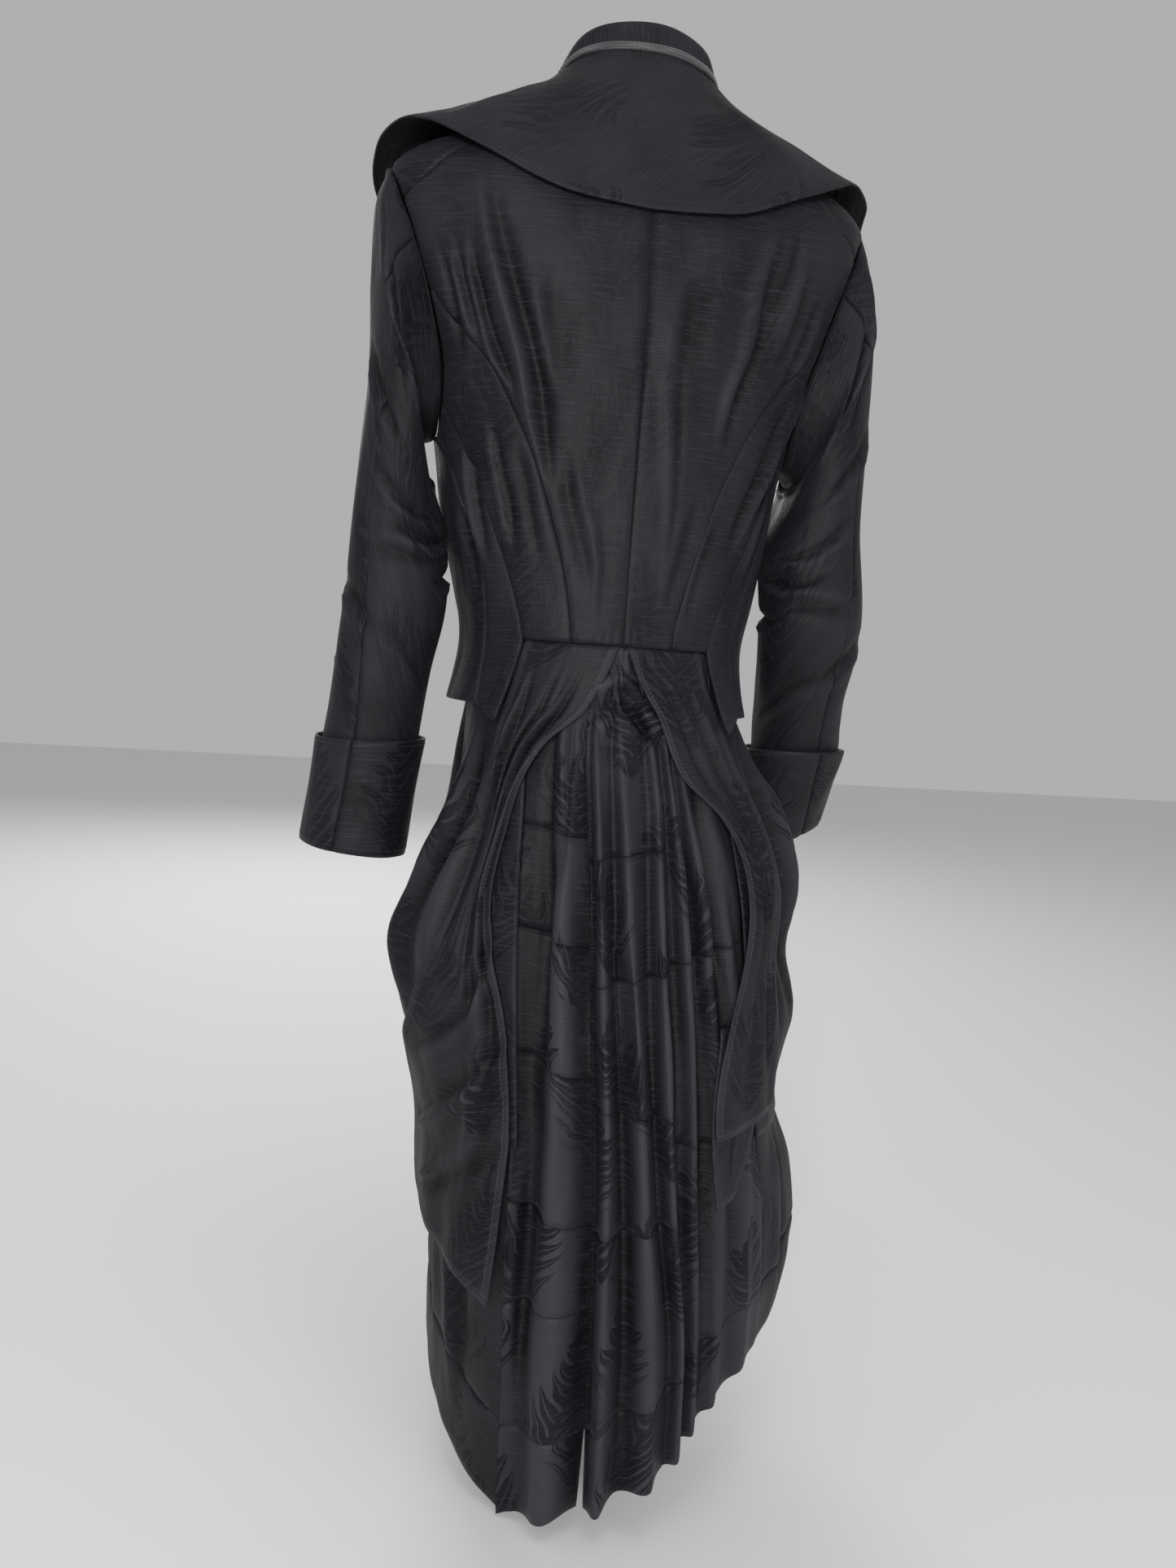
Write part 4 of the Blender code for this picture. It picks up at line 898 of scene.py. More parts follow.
def makeCollar():
    end = standSizes["end_angle"]
    across = line(((-end, 0), (0, 0), (end, 0)), 20 * fine)
    up = np.array([0.0, 1.0])
    clothPiece("collar_stand", standSurface, across, across + up, ("inner",), figure=0.2)
    last = collarSizes["angle"][-1]
    roundNeck = line(((last, 0), (90, 0), (0, 0), (-90, 0), (-last, 0)), 34 * fine)

    def folds(angle, share, point):
        return foldLift(collarFolds, angle, share, (0.0016, 0.11))

    clothPiece("cape_collar", collarSurface, roundNeck, roundNeck + up, (), folds=folds, figure=0.85)
    tape = tapeSizes
    tapeEnd = tape["reach"] * end
    tapeEdge = line(((-tapeEnd, tape["end"]), (0, tape["middle"]), (tapeEnd, tape["end"])), 16 * fine)
    clothPiece("collar_tape", lambda angle, share: standSurface(angle, share, wall + tape["off"]), tapeEdge,
               tapeEdge + up * tape["wide"], (), cell=tape["cell"], finish=ribbedTape)


makeCollar()
print("collar made")


# Skirt.
# Sections of the skirt over its pleats, the sway of the worn skirt, and the swell of each side drape.
skirtSizes = {
    "z":      (-0.405, -0.440, -0.480, -0.540, -0.600, -0.660, -0.720, -0.780, -0.860, -0.940, -1.020,
               -1.120),
    "width":  (0.1120, 0.112, 0.117, 0.126, 0.135, 0.141, 0.146, 0.149, 0.154, 0.156, 0.154, 0.149),
    "back":   (0.1145, 0.114, 0.122, 0.138, 0.152, 0.163, 0.172, 0.180, 0.188, 0.193, 0.196, 0.196),
    "front":  (-0.0980, -0.098, -0.104, -0.113, -0.120, -0.126, -0.130, -0.134, -0.138, -0.141, -0.142,
               -0.140),
    "middle": (0.000, 0.002, 0.005, 0.010, 0.014, 0.018, 0.020, 0.022, 0.024, 0.025, 0.025, 0.025),
    "sway":   (0.000, -0.001, -0.003, -0.008, -0.013, -0.018, -0.024, -0.029, -0.034, -0.037, -0.038, -0.038),
    "left":   (0.000, -0.003, -0.004, 0.000, 0.024, 0.040, 0.030, 0.012, 0.002, 0.000, 0.000, 0.000),
    "right":  (0.000, 0.006, 0.018, 0.038, 0.042, 0.026, 0.029, 0.008, 0.022, 0.026, 0.010, 0.000),
}
# Fold lines of the back skirt from the wearer's right to their left: angles and lifts at the named heights.
pleatHeights = (-0.405, -0.500, -0.600, -0.720, -0.850, -0.940, -1.120)
pleatLines = {
    "right_seam":   ((-50, -52, -52, -52, -52, -52, -52), (-2, -9, -10, -9, -6, -6, -6)),
    "right_ridge":  ((-41, -42, -44, -44, -43, -42, -42), (-2, -5, -4, -4, -5, -3, -2)),
    "right_valley": ((-33, -34, -35, -36, -35, -34, -34), (-2, -12, -17, -17, -14, -10, -8)),
    "side_ridge":   ((-27, -28, -30, -31, -30, -29, -29), (-2, -5, -4, -4, -5, -4, -3)),
    "side_valley":  ((-22, -24, -26, -25, -23, -24, -25), (-2, -12, -18, -20, -18, -14, -10)),
    "fifth_ridge":  ((-18, -21, -21, -20, -18.5, -20, -22), (-2, -4, -4, -3, -4, -4, -3)),
    "fifth_valley": ((-15, -18, -17, -15.5, -14.5, -17, -19), (-2, -11, -16, -17, -16, -16, -14)),
    "fourth_ridge": ((-11, -14.5, -12, -10.5, -11, -14.5, -16), (-2, -4, -3, -2, -2, -2, -2)),
    "fourth_valley": ((-7, -10, -7.5, -6, -7.5, -11.5, -13), (-2, -10, -15, -18, -18, -16, -14)),
    "third_ridge":  ((-2, -1, 0, -0.5, -2, -4.5, -7.5), (-2, -4, -2, -1, 0, 0, 0)),
    "third_valley": ((3, 4.5, 5, 5, 5, 4, 2.5), (-2, -10, -16, -19, -20, -19, -17)),
    "second_ridge": ((7, 9, 9.5, 10, 10, 10, 8.5), (-2, -4, -3, -2, 0, 0, 0)),
    "centre_valley": ((11, 13.5, 13.5, 14.5, 14.5, 14.5, 14.5), (-2, -11, -16, -18, -20, -22, -22)),
    "first_ridge":  ((18, 21, 22, 24, 25, 25.5, 26), (-2, -4, -2, 0, 1, 1, 2)),
    "first_valley": ((27, 29, 31, 35, 36.5, 37, 36.5), (-2, -12, -18, -20, -18, -15, -11)),
    "left_seam":    ((37, 40, 41, 42, 42, 42, 42), (-2, -9, -10, -9, -6, -6, -6)),
}
pleatNames = tuple(pleatLines)
# Gores of the back skirt: first and last fold, and the cross seams' heights at the gore's two edges.
gorePieces = {
    "back_right": ("right_seam", "fifth_valley", ((-0.640, -0.650), (-0.800, -0.790))),
    "back_centre": ("fifth_valley", "centre_valley",
                    ((-0.560, -0.572), (-0.655, -0.668), (-0.770, -0.760), (-0.850, -0.862))),
    "back_left": ("centre_valley", "left_seam",
                  ((-0.556, -0.548), (-0.640, -0.628), (-0.742, -0.724), (-0.858, -0.846), (-0.925, -0.930))),
}
# The hem and the top of its band, round the skirt.
hemLine = {
    "angle":  (-180, -120, -65, -33, -22, -7, 6, 14.5, 22, 35, 50, 72, 110, 180),
    "hem_z":  (-0.930, -0.950, -0.985, -1.000, -1.030, -1.060, -1.088, -1.095, -1.105, -1.115, -1.110, -1.085,
               -1.030, -0.950),
    "band_z": (-0.860, -0.880, -0.930, -0.945, -0.965, -0.976, -1.020, -1.028, -1.028, -1.034, -1.036, -1.025,
               -0.960, -0.880),
}
# how far the bands' edges part, in folds
slitParts = {"back_centre": (0.0, -0.18), "back_left": (0.10, 0.0)}
pleatRow = 0.032        # height of one row of faces in the back skirt
pleatShade = 0.016      # depth below the outermost fold at which the cloth is painted fully in shade
# heights of the soft waves: gathers and folds of the pleats, and swells of the side with the length they
# take to grow
softWave = {"gather": 0.0011, "second": 0.0009, "side": 0.0016, "top": 0.12}
skirtMiddle = 0.015     # how far behind the middle the side folds' angles are counted from
frontSkirtEdge = 177.5
drapeHemZ = -0.800
sidePanelTopZ = -0.760
frontSkirtAngle = 112
drapeStart = {1: 38.0, -1: 46.5}
sidePanelStart = {1: 42.4, -1: 52.2}
# how far a side panel lies under the drape, and how far it runs on under the front skirt and the back gores
sidePanelInset = {"angle": (44, 52, 112), "lift": (-0.0078, -0.0060, -0.0024)}
sidePanelReach = {0: 2.2, 1: 1.6, -1: 1.0}
# folds of the side drapes, the panels under them and the front skirt, in degrees and millimetres
skirtFolds = (
    ((52, -480, 56, -560, 60, -640, 58, -740), 11, -6, 0.7),
    ((66, -450, 68, -540, 76, -620, 74, -760), 12, -5.6, 0.7),
    ((84, -480, 86, -580, 90, -680), 13, -5, -0.6),
    ((100, -450, 99, -560, 102, -700), 12, -5, 0.7),
    ((-56, -500, -60, -580, -63, -660, -60, -760), 10, -5.6, 0.7),
    ((-70, -460, -72, -560, -76, -640, -74, -750), 12, -5.6, -0.7),
    ((-88, -470, -88, -570, -92, -690), 12, -5, 0.6),
    ((-102, -450, -101, -560, -104, -720), 12, -4.6, -0.6),
    ((62, -790, 60, -880, 56, -980, 55, -1060), 10, -4.4, 0.7),
    ((80, -800, 82, -900, 80, -1020), 11, -4.4, -0.6),
    ((98, -790, 98, -900, 101, -1010), 11, -4.4, 0.6),
    ((-66, -800, -64, -880, -62, -980), 10, -4.6, 0.7),
    ((-84, -800, -86, -880, -86, -960), 11, -4.4, 0.6),
    ((124, -430, 126, -580, 124, -760, 127, -920), 12, -4.4, 0.7),
    ((142, -430, 140, -600, 143, -780, 141, -900), 13, -4, -0.6),
    ((160, -430, 162, -620, 159, -820), 12, -4, 0.6),
    ((-126, -430, -124, -590, -127, -760, -125, -900), 12, -4.4, -0.6),
    ((-145, -430, -147, -610, -144, -800), 13, -4, 0.7),
    ((-163, -430, -161, -600, -164, -840), 12, -3.8, 0.6),
)
# the gathered fold under the waist at the centre back, and creases across the pleats
pleatFolds = (
    ((20, -462, 15, -449, 8, -436, 1, -429, -4, -428), 4.6, 7.2, -0.7),
    ((5, -426, 0, -430, -7, -446, -13, -464, -20, -484), 4.6, 7.6, 0.7),
    ((14, -470, 7, -456, 0, -449, -7, -462, -13, -482), 4.4, -4, 0.6),
    ((9, -476, 3, -466, -3, -468, -8, -484), 3.6, 3, 0.6),
    ((18, -440, 20, -520, 21, -600), 4.5, -3, 0.6),
    ((24, -560, 26, -660, 27, -760), 5, -3.4, -0.6),
    ((20, -700, 20, -800, 21, -880), 5, -2.6, 0.6),
    ((30, -800, 30, -900, 31, -1000), 5, -3, 0.6),
    ((-30, -520, -30, -600, -33, -680), 4.5, -3.4, 0.6),
    ((-22, -540, -23, -610, -22, -680), 4.5, -3, 0.6),
    ((-38, -560, -40, -660, -39, -760), 5, -3.4, 0.6),
    ((0, -600, 1, -700, -1, -800), 4.5, -2.2, 0.6),
)


# the skirt's outer surface, over its pleats, with a swell at each side
def skirt(angle, z, lift=0.0):
    swell = np.where(angle > 0, sized(skirtSizes, "left", z), sized(skirtSizes, "right", z))
    x, y = section(skirtSizes, angle, z, lift + swell * sideBell(angle))
    return np.stack(np.broadcast_arrays(x + sized(skirtSizes, "sway", z), y, z), axis=-1)


# the angle and the lift of the pleated back skirt; place counts the fold lines from the wearer's right
def pleatAt(place, z):
    lines = [curve(pleatHeights, angles, z) for angles, lifts in pleatLines.values()]
    heights = [curve(pleatHeights, lifts, z) * 0.001 for angles, lifts in pleatLines.values()]
    i = np.clip(np.floor(place), 0, len(pleatLines) - 2).astype(int)
    t = place - i
    angle = np.choose(i, lines[:-1]) * (1 - t) + np.choose(i, lines[1:]) * t
    blend = (1 - np.cos(np.pi * t)) / 2
    return angle, np.choose(i, heights[:-1]) * (1 - blend) + np.choose(i, heights[1:]) * blend


def pleats(place, z):
    angle, lift = pleatAt(place, z)
    return skirt(angle, z, lift)


# painted shade deep in the pleats' valleys, painted light on their ridges
def pleatLight(place, z):
    return 1 + pleatAt(place.ravel(), z.ravel())[1].reshape(place.shape) / pleatShade


def pleatPlace(name, z):
    return np.full_like(z, float(pleatNames.index(name)))


def bandEdge(column, angle):
    return curve(hemLine["angle"], hemLine[column], angle)


def pleatAngle(name, z):
    return curve(pleatHeights, pleatLines[name][0], z)


# the height at which a fold line meets the hem or the top of its band
def settle(name, column):
    z = -1.0
    for _ in range(6):
        z = float(bandEdge(column, pleatAngle(name, z)))
    return z


# gathers that die out below the waist, and folds along and across the pleats
def pleatedFolds(place, z, point):
    turn, below = place * 2 * np.pi, skirtTopZ - z
    gather = softWave["gather"] * np.sin(turn * 1.5 + 3 * ripple(point, 0.2, 21)) * np.exp(-below / 0.07)
    second = softWave["second"] * np.sin(turn + 2.0 * ripple(point, 0.30, 11)) * smooth(below / 0.08)
    angle = np.degrees(np.arctan2(point[..., 0] - sized(skirtSizes, "sway", z), point[..., 1]))
    return gather + second + foldLift(pleatFolds, angle, z * 1000, foldScale)


def goreTier(name, first, last, top, bottom, parted, sewn):
    steps = max(2, round((min(top) - max(bottom)) / pleatRow)) * fine
    places = []
    for fold, high, low, part in zip((first, last), top, bottom, parted):
        z = np.linspace(high, low, steps + 1)
        places.append(np.stack([pleatPlace(fold, z) + part * np.linspace(0, 1, steps + 1), z], axis=-1))
    clothPiece(name, pleats, places[0], places[1], sewn, folds=pleatedFolds, cell=0.0034, dip=0.0001,
               tuck=0.0014, paintedLight=pleatLight)


def makeBackSkirt():
    for gore, (first, last, seams) in gorePieces.items():
        band = (settle(first, "band_z"), settle(last, "band_z"))
        hem = (settle(first, "hem_z"), settle(last, "hem_z"))
        heights = ((skirtTopZ, skirtTopZ),) + seams + (band, hem)
        for k in range(len(heights) - 1):
            isBand = k == len(heights) - 2
            name = f"band_{gore}" if isBand else f"skirt_{gore}_{k + 1}"
            parted = slitParts.get(gore, (0.0, 0.0)) if isBand else (0.0, 0.0)
            sewn = ("top", "inner", "outer") if isBand else ("top", "bottom", "inner", "outer")
            if isBand and parted != (0.0, 0.0):
                sewn = ("top", "outer") if parted[0] else ("top", "inner")
            goreTier(name, first, last, heights[k], heights[k + 1], parted, sewn)


# the skirt's surface below the side drapes, set in from the pleats' edge and easing out to the front
def underDrape(angle, z):
    return skirt(angle, z, np.interp(np.abs(angle), sidePanelInset["angle"], sidePanelInset["lift"]))


def sideFolds(angle, z, point):
    turned = np.degrees(np.arctan2(point[..., 0] - sized(skirtSizes, "sway", z), point[..., 1] - skirtMiddle))
    grown = smooth((skirtTopZ - z) / softWave["top"])
    soft = softWave["side"] * ripple(point * (1, 1, 0.25), 0.09, 17) * grown
    return foldLift(skirtFolds, turned, z * 1000, foldScale) + soft


# a height that is the same all round, or a column of the hem's table
def heightAt(level, angle):
    return bandEdge(level, angle) if isinstance(level, str) else level


def hung(name, surface, top, bottom, angles, rows, sewn, side):
    share = np.linspace(0, 1, rows * fine + 1)
    edges = []
    for angle in angles:
        high, low = (heightAt(level, angle * side) for level in (top, bottom))
        edges.append(np.stack([np.full(len(share), float(angle)), high + (low - high) * share], axis=-1))
    clothPiece(name, surface, edges[0], edges[1], sewn, side, folds=sideFolds, cell=0.0046, figure=0.9)


def makeSideSkirt():
    front = (frontSkirtAngle, frontSkirtEdge)
    for name, hand in (("left", 1), ("right", -1)):
        drape = (drapeStart[hand], frontSkirtAngle)
        below = (sidePanelStart[hand] - sidePanelReach[hand], frontSkirtAngle + sidePanelReach[0])
        for part, *shape in (
            ("drape", skirt, skirtTopZ, drapeHemZ, drape, 12, ("top", "outer")),
            ("skirt_side", underDrape, sidePanelTopZ, "band_z", below, 6, ("bottom", "outer")),
            ("band_side", underDrape, "band_z", "hem_z", below, 2, ("top", "outer")),
            ("skirt_front", skirt, skirtTopZ, "band_z", front, 10, ("top", "bottom", "inner")),
            ("band_front", skirt, "band_z", "hem_z", front, 2, ("top", "inner")),
        ):
            hung(f"{part}_{name}", *shape, hand)


makeBackSkirt()
makeSideSkirt()
print("skirt made")


# Tails.
# Tails hung from the waist: the places of both edges, row by row, and the lift over the skirt.
tailLeft = {
    "inner_angle": (1.5, 7, 13.5, 20, 29, 38, 43, 46, 44, 40, 39, 39, 40.5, 42, 44),
    "inner_z": (skirtTopZ, -0.432, -0.455, -0.468, -0.485, -0.516, -0.556, -0.600, -0.650, -0.700, -0.745,
                -0.790, -0.840, -0.885, -0.930),
    "outer_angle": (39.6, 45, 48, 50, 51.5, 52.5, 54, 57.5, 64, 72, 81, 90, 94, 95, 95),
    "outer_z": (skirtTopZ, -0.432, -0.458, -0.478, -0.500, -0.530, -0.570, -0.610, -0.655, -0.705, -0.745,
                -0.785, -0.825, -0.855, -0.877),
    "lift": (2.2, 3, 4, 5, 5, 5, 6, 7, 8, 8, 8, 8, 8, 9, 9),
    "wave": (0, 1, 2, 3, 4, 5, 6, 6, 6, 5, 4, 4, 4, 4, 4),
}
tailRight = {
    "inner_angle": (1.5, 6, 10.5, 15, 19, 24, 38, 45, 46, 43, 35, 27.5, 24, 23),
    "inner_z": (skirtTopZ, -0.428, -0.444, -0.460, -0.486, -0.508, -0.536, -0.566, -0.604, -0.642, -0.682,
                -0.722, -0.755, -0.785),
    "outer_angle": (36.4, 41, 46, 50, 54, 58, 61, 62, 62, 60, 58, 56, 54.5, 53),
    "outer_z": (skirtTopZ, -0.430, -0.450, -0.475, -0.500, -0.525, -0.552, -0.580, -0.612, -0.647, -0.685,
                -0.722, -0.750, -0.776),
    "lift": (2.2, 3, 4, 5, 5, 6, 7, 8, 8, 8, 8, 8, 8, 8),
    "wave": (0, 1, 2, 3, 4, 5, 5, 5, 4, 4, 3, 3, 3, 3),
}
tailUnder = {
    "inner_angle": (30, 26, 23.5, 23, 24),
    "inner_z": (-0.700, -0.740, -0.775, -0.810, -0.842),
    "outer_angle": (50, 48, 45, 38, 31),
    "outer_z": (-0.700, -0.740, -0.775, -0.808, -0.836),
    "lift": (2.4, 2.6, 3, 3.5, 4),
    "wave": (0, 0, 1, 1, 1),
}
tailWave = 0.45         # how high the tails' waves stand against their table
tailWaves = 7.5         # radians of wave across a tail
tailHem = 0.0072        # width of the turned and topstitched hem round a tail
tailScale = (0.035, 0.085)      # metres to one row and to a tail's whole width
# creases down a tail as rows and shares across
tailFolds = {
    "tail_left": (
        ((0.3, 0.25, 3, 0.3, 7, 0.35, 10, 0.42), 5, -4, 0.7),
        ((0.3, 0.5, 3, 0.52, 6, 0.62, 9, 0.66), 5, -3.6, -0.7),
        ((0.3, 0.78, 3, 0.76, 6, 0.8, 9, 0.85), 5, -4, 0.7),
        ((4, 0.1, 7, 0.12, 10, 0.16, 13, 0.2), 5.5, -3.4, 0.7),
        ((10.3, 0.95, 9.4, 0.6, 8.4, 0.25, 7.4, -0.1), 5, -3.6, 0.8),
        ((12.2, 1, 11.2, 0.65, 10.1, 0.3, 9, -0.1), 4.8, -3.4, 0.8),
        ((13.6, 0.8, 12.6, 0.5, 11.6, 0.2, 10.8, -0.1), 4.6, -3, -0.8),
    ),
    "tail_right": (
        ((0.3, 0.3, 3, 0.32, 6, 0.38), 5, -3.6, 0.7),
        ((0.3, 0.62, 3, 0.64, 6, 0.66, 9, 0.62), 5, -4.2, 0.7),
        ((5, 0.4, 8, 0.4, 11, 0.44), 5.5, -3.6, -0.7),
        ((6, 0.82, 9, 0.8, 12, 0.78), 5, -3.4, 0.7),
    ),
    "tail_right_under": (
        ((0.5, 0.45, 2, 0.5, 3.5, 0.55), 4.5, -2.6, 0.7),
    ),
}


def makeTail(name, table, side):
    rows = np.arange(len(table["lift"]), dtype=float)

    def surface(row, share):
        row = row * side
        inner, outer, high, low, lift, wave = (curve(rows, table[column], row) for column in (
            "inner_angle", "outer_angle", "inner_z", "outer_z", "lift", "wave"))
        angle = inner * (1 - share) + outer * share
        z = high * (1 - share) + low * share
        return skirt(angle * side, z, (lift + tailWave * wave * np.sin(share * tailWaves) ** 2) / 1000)

    def folds(row, share, point):
        return foldLift(tailFolds[name], row * side, share, tailScale)

    edge = np.linspace(0, rows[-1], int(rows[-1]) * fine + 1)
    inner = np.stack([edge, np.zeros(len(edge))], axis=-1)
    clothPiece(name, surface, inner, inner + np.array([0.0, 1.0]), ("top",), side, folds=folds, cell=0.0030,
               hem=tailHem)


makeTail("tail_left", tailLeft, 1)
makeTail("tail_right", tailRight, -1)
makeTail("tail_right_under", tailUnder, -1)
print("tails made")


# Stitches.
stitchSizes = {"spacing": 0.0034, "length": 0.0023, "thickness": 0.00042, "proud": 0.0001}


# a tree that lays stitches along a path: points every spacing, a small spindle turned along the path at each
def stitchTree():
    tree = bpy.data.node_groups.new("stitchRow", "GeometryNodeTree")
    face = tree.interface
    face.new_socket("Path", in_out="INPUT", socket_type="NodeSocketGeometry")
    kinds = {"Spacing": "Float", "Length": "Float", "Thickness": "Float", "Thread": "Material"}
    sockets = {name: face.new_socket(name, in_out="INPUT", socket_type="NodeSocket" + kind).identifier
               for name, kind in kinds.items()}
    face.new_socket("Stitches", in_out="OUTPUT", socket_type="NodeSocketGeometry")
    nodes = {name: tree.nodes.new(kind) for name, kind in (
        ("start", "NodeGroupInput"), ("end", "NodeGroupOutput"), ("curve", "GeometryNodeMeshToCurve"),
        ("spaced", "GeometryNodeResampleCurve"), ("tangent", "GeometryNodeInputTangent"),
        ("turn", "FunctionNodeAlignRotationToVector"), ("spindle", "GeometryNodeMeshUVSphere"),
        ("size", "ShaderNodeCombineXYZ"), ("place", "GeometryNodeInstanceOnPoints"),
        ("real", "GeometryNodeRealizeInstances"), ("paint", "GeometryNodeSetMaterial"))}
    nodes["spaced"].mode = "LENGTH"
    nodes["turn"].axis = "Z"
    for name, value in (("Segments", 6), ("Rings", 4), ("Radius", 0.5)):
        nodes["spindle"].inputs[name].default_value = value
    for start, output, end, entry in (
        ("start", "Path", "curve", "Mesh"), ("curve", "Curve", "spaced", "Curve"),
        ("start", "Spacing", "spaced", "Length"), ("tangent", 0, "turn", "Vector"),
        ("start", "Thickness", "size", "X"), ("start", "Thickness", "size", "Y"),
        ("start", "Length", "size", "Z"), ("spaced", "Curve", "place", "Points"),
        ("spindle", "Mesh", "place", "Instance"),
        ("turn", 0, "place", "Rotation"), ("size", 0, "place", "Scale"), ("place", 0, "real", 0),
        ("real", 0, "paint", "Geometry"), ("start", "Thread", "paint", "Material"), ("paint", 0, "end", 0),
    ):
        tree.links.new(nodes[start].outputs[output], nodes[end].inputs[entry])
    return tree, sockets


stitchRows, stitchSockets = stitchTree()


# the path at an inset from one edge of a finished piece, just proud of its cloth
def stitchPath(node, edge, inset):
    point, normal, distance = grids[node]
    away = distance[edge]
    alongRows = edge in ("inner", "outer")
    nearest = np.abs(away - inset).argmin(axis=1 if alongRows else 0)
    every = np.arange(len(nearest))
    place = (every, nearest) if alongRows else (nearest, every)
    return (point[place] + normal[place] * stitchSizes["proud"])[1:-1]


def makeStitches(name, edges, thread):
    mesh = bpy.data.meshes.new(name)
    points, steps = [], []
    for edge in edges:
        path = stitchPath(*edge)
        first = len(points)
        points += path.tolist()
        steps += [(first + k, first + k + 1) for k in range(len(path) - 1)]
    mesh.from_pydata(points, steps, [])
    guide = placed(name + "_guide", mesh)
    rows = guide.modifiers.new("stitches", "NODES")
    rows.node_group = stitchRows
    for key, value in (("Spacing", stitchSizes["spacing"]), ("Length", stitchSizes["length"]),
                       ("Thickness", stitchSizes["thickness"]), ("Thread", thread)):
        rows[stitchSockets[key]] = value
    bpy.context.view_layer.update()
    made = bpy.data.meshes.new_from_object(guide.evaluated_get(bpy.context.evaluated_depsgraph_get()))
    made.name = name
    made.shade_smooth()
    bpy.data.objects.remove(guide)
    piece = placed(name, made)
    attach(piece, "root")


makeStitches("tail_stitches", [("tail_left", "bottom", 0.0065), ("tail_left", "inner", 0.0055),
                               ("tail_right", "bottom", 0.0060), ("tail_right", "inner", 0.0050),
                               ("tail_right_under", "bottom", 0.0050)], paleThread)
makeStitches("collar_stitches", [("cape_collar", "outer", 0.0060)], darkThread)
makeStitches("tape_stitches", [("collar_tape", edge, 0.0007) for edge in ("inner", "outer")], darkThread)
makeStitches("cuff_stitches", [(f"cuff_{name}", edge, inset) for name in ("left", "right")
                               for edge, inset in (("top", 0.0050), ("bottom", 0.0040))], darkThread)
bands = ("back_right", "back_centre", "back_left", "side_left", "side_right", "front_left", "front_right")
makeStitches("hem_stitches", [(f"band_{name}", "bottom", 0.0120) for name in bands], darkThread)
print("stitches laid")


# Buttons.
buttonLook = {
    # turned outline of a cloth-covered button, as shares of its radius and of its height
    "out": (0.00, 0.30, 0.55, 0.78, 0.92, 1.00, 0.97, 0.84, 0.60, 0.30, 0.00),
    "up":  (0.50, 0.47, 0.38, 0.24, 0.12, -0.06, -0.26, -0.40, -0.46, -0.50, -0.50),
    "turns": 40, "puckers": 13, "pucker": 0.012,
    # the button takes the flat cloth's share of painted light
    "shows": {"figure": 0.6, "edge": 0.01, "seam": 0.01, "paintedLight": clothMake["flatLightShare"]},
}


def makeButton(node):
    solid = np.array([vertex.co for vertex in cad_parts[node].data.vertices])
    middle = (solid.min(axis=0) + solid.max(axis=0)) / 2
    axes = np.linalg.svd(solid - solid.mean(axis=0), full_matrices=False)[2]
    upward = axes[2] * (1 if axes[2][1] < 0 else -1)
    away = (solid - middle) @ upward
    radius = np.linalg.norm((solid - middle) - away[:, None] * upward, axis=1).max()
    height = away.max() - away.min()
    shape = bmesh.new()
    rings = []
    first, second = axes[0], np.cross(upward, axes[0])
    for out, up in zip(buttonLook["out"], buttonLook["up"]):
        turns = 1 if out == 0 else buttonLook["turns"]
        ring = []
        for k in range(turns):
            angle = 2 * math.pi * k / turns
            pull = 1 + buttonLook["pucker"] * math.sin(angle * buttonLook["puckers"]) * out
            spoke = (first * math.cos(angle) + second * math.sin(angle)) * out * radius * pull
            ring.append(shape.verts.new(middle + spoke + upward * up * height))
        rings.append(ring)
    for upper, lower in zip(rings, rings[1:]):
        for k in range(buttonLook["turns"]):
            corners = list(dict.fromkeys(ring[turn % len(ring)] for ring, turn in (
                (upper, k), (lower, k), (lower, k + 1), (upper, k + 1))))
            if len(corners) > 2:
                shape.faces.new(corners)
    bmesh.ops.recalc_face_normals(shape, faces=shape.faces)
    mesh = bpy.data.meshes.new(node + "_covered")
    layer = shape.loops.layers.uv.new("cloth")
    for face in shape.faces:
        for loop in face.loops:
            offset = np.array(loop.vert.co) - middle
            loop[layer].uv = (float(offset @ first), float(offset @ second))
    shape.to_mesh(mesh)
    shape.free()
    mesh.shade_smooth()
    count = len(mesh.vertices)
    addAttributes(mesh, {name: np.full(count, value) for name, value in buttonLook["shows"].items()})
    mesh.materials.append(figuredCloth)
    button = placed(node + "_covered", mesh)
    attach(button, "root")
    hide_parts(node)


for k in range(1, 5):
    makeButton(f"button_{k}")
print("buttons made")


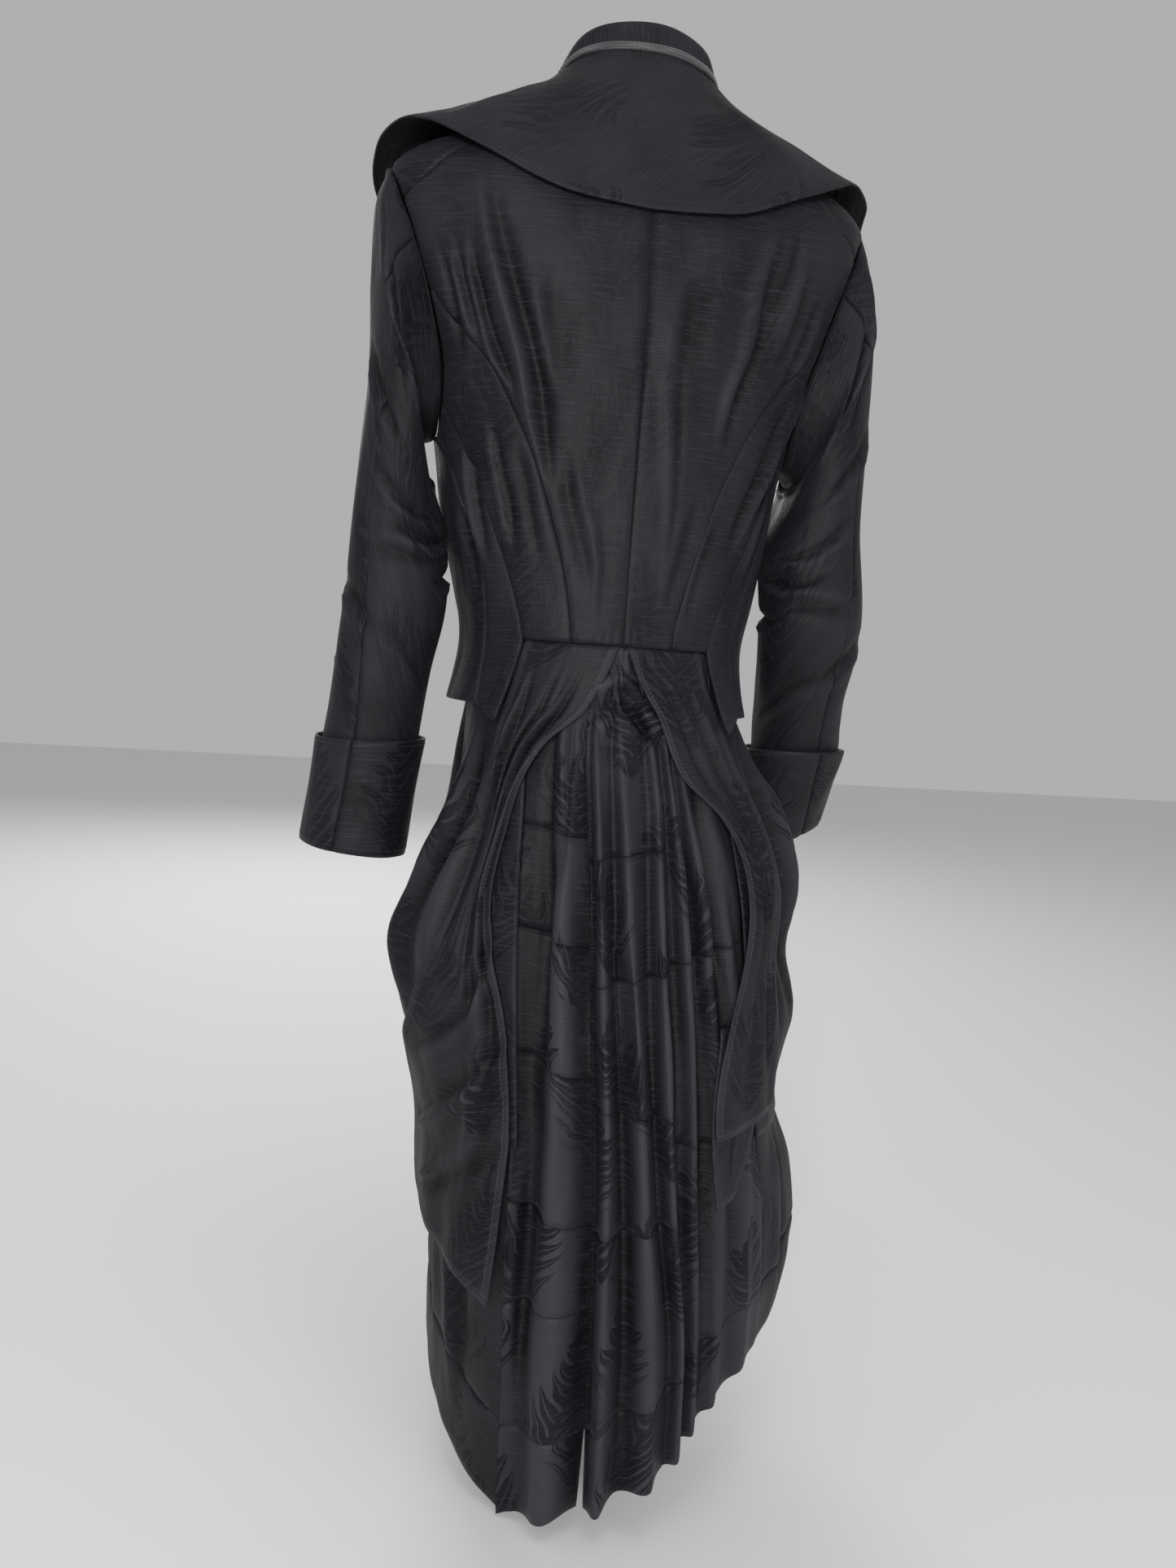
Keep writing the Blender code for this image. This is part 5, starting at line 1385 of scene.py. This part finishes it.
# Floor, light and camera.
studio = {
    "floor": (0.80, 0.80, 0.795, 1.0), "floorRough": 0.8, "below": 0.004, "aim": Vector((0.0, 0.0, -0.5)),
    "air": (0.95, 0.96, 0.97, 1.0), "airStrength": 0.45,
    # where each soft light stands, its size and its power
    "lamps": (
        ("key", (0.75, 2.7, 0.05), 0.7, 50.0),
        ("fill", (-1.9, 1.7, -0.6), 1.4, 7.0),
        ("top", (0.0, 1.0, 2.2), 1.2, 8.0),
        ("front", (0.3, -2.6, 0.8), 1.6, 26.0),
    ),
}


def makeStage():
    low = cadBox[0].z - studio["below"]
    mesh = bpy.data.meshes.new("floor")
    mesh.from_pydata([(-5, -5, low), (5, -5, low), (5, 5, low), (-5, 5, low)], [], [(0, 1, 2, 3)])
    mesh.materials.append(newFinish("paleFloor", lambda tree: {
        "Base Color": studio["floor"], "Roughness": studio["floorRough"]}))
    floor = placed("floor", mesh)
    world = bpy.data.worlds.new("studioAir")
    world.use_nodes = True
    air = world.node_tree.nodes["Background"]
    air.inputs["Color"].default_value = studio["air"]
    air.inputs["Strength"].default_value = studio["airStrength"]
    bpy.context.scene.world = world
    for name, place, size, power in studio["lamps"]:
        lamp = bpy.data.lights.new(name, "AREA")
        lamp.size = size
        lamp.energy = power
        stand = placed(name, lamp)
        stand.location = place
        stand.rotation_euler = (studio["aim"] - stand.location).to_track_quat("-Z", "Y").to_euler()


cameraView = {"round": 11.4, "away": 1.03005, "beside": 0.00315, "height": -0.3969, "down": 7.3, "roll": 4.25,
              "lens": 26.90}


def makeCamera():
    turn, tilt, roll = (math.radians(cameraView[name]) for name in ("round", "down", "roll"))
    back = Vector((math.sin(turn), math.cos(turn), 0.0))
    right = Vector((-math.cos(turn), math.sin(turn), 0.0))
    up = Vector((0.0, 0.0, 1.0))
    ahead = -back * math.cos(tilt) - up * math.sin(tilt)
    above = up * math.cos(tilt) - back * math.sin(tilt)
    sideways = right * math.cos(roll) + above * math.sin(roll)
    upright = -right * math.sin(roll) + above * math.cos(roll)
    lens = bpy.data.cameras.new("camera")
    lens.lens = cameraView["lens"]
    lens.sensor_width = 36.0
    camera = placed("camera", lens)
    place = back * cameraView["away"] + right * cameraView["beside"] + up * cameraView["height"]
    turned = Matrix((sideways, upright, -ahead)).transposed().to_4x4()
    camera.matrix_world = Matrix.Translation(place) @ turned
    bpy.context.scene.camera = camera


bpy.context.scene.view_settings.view_transform = "Standard"
makeStage()
makeCamera()
print("stage set")
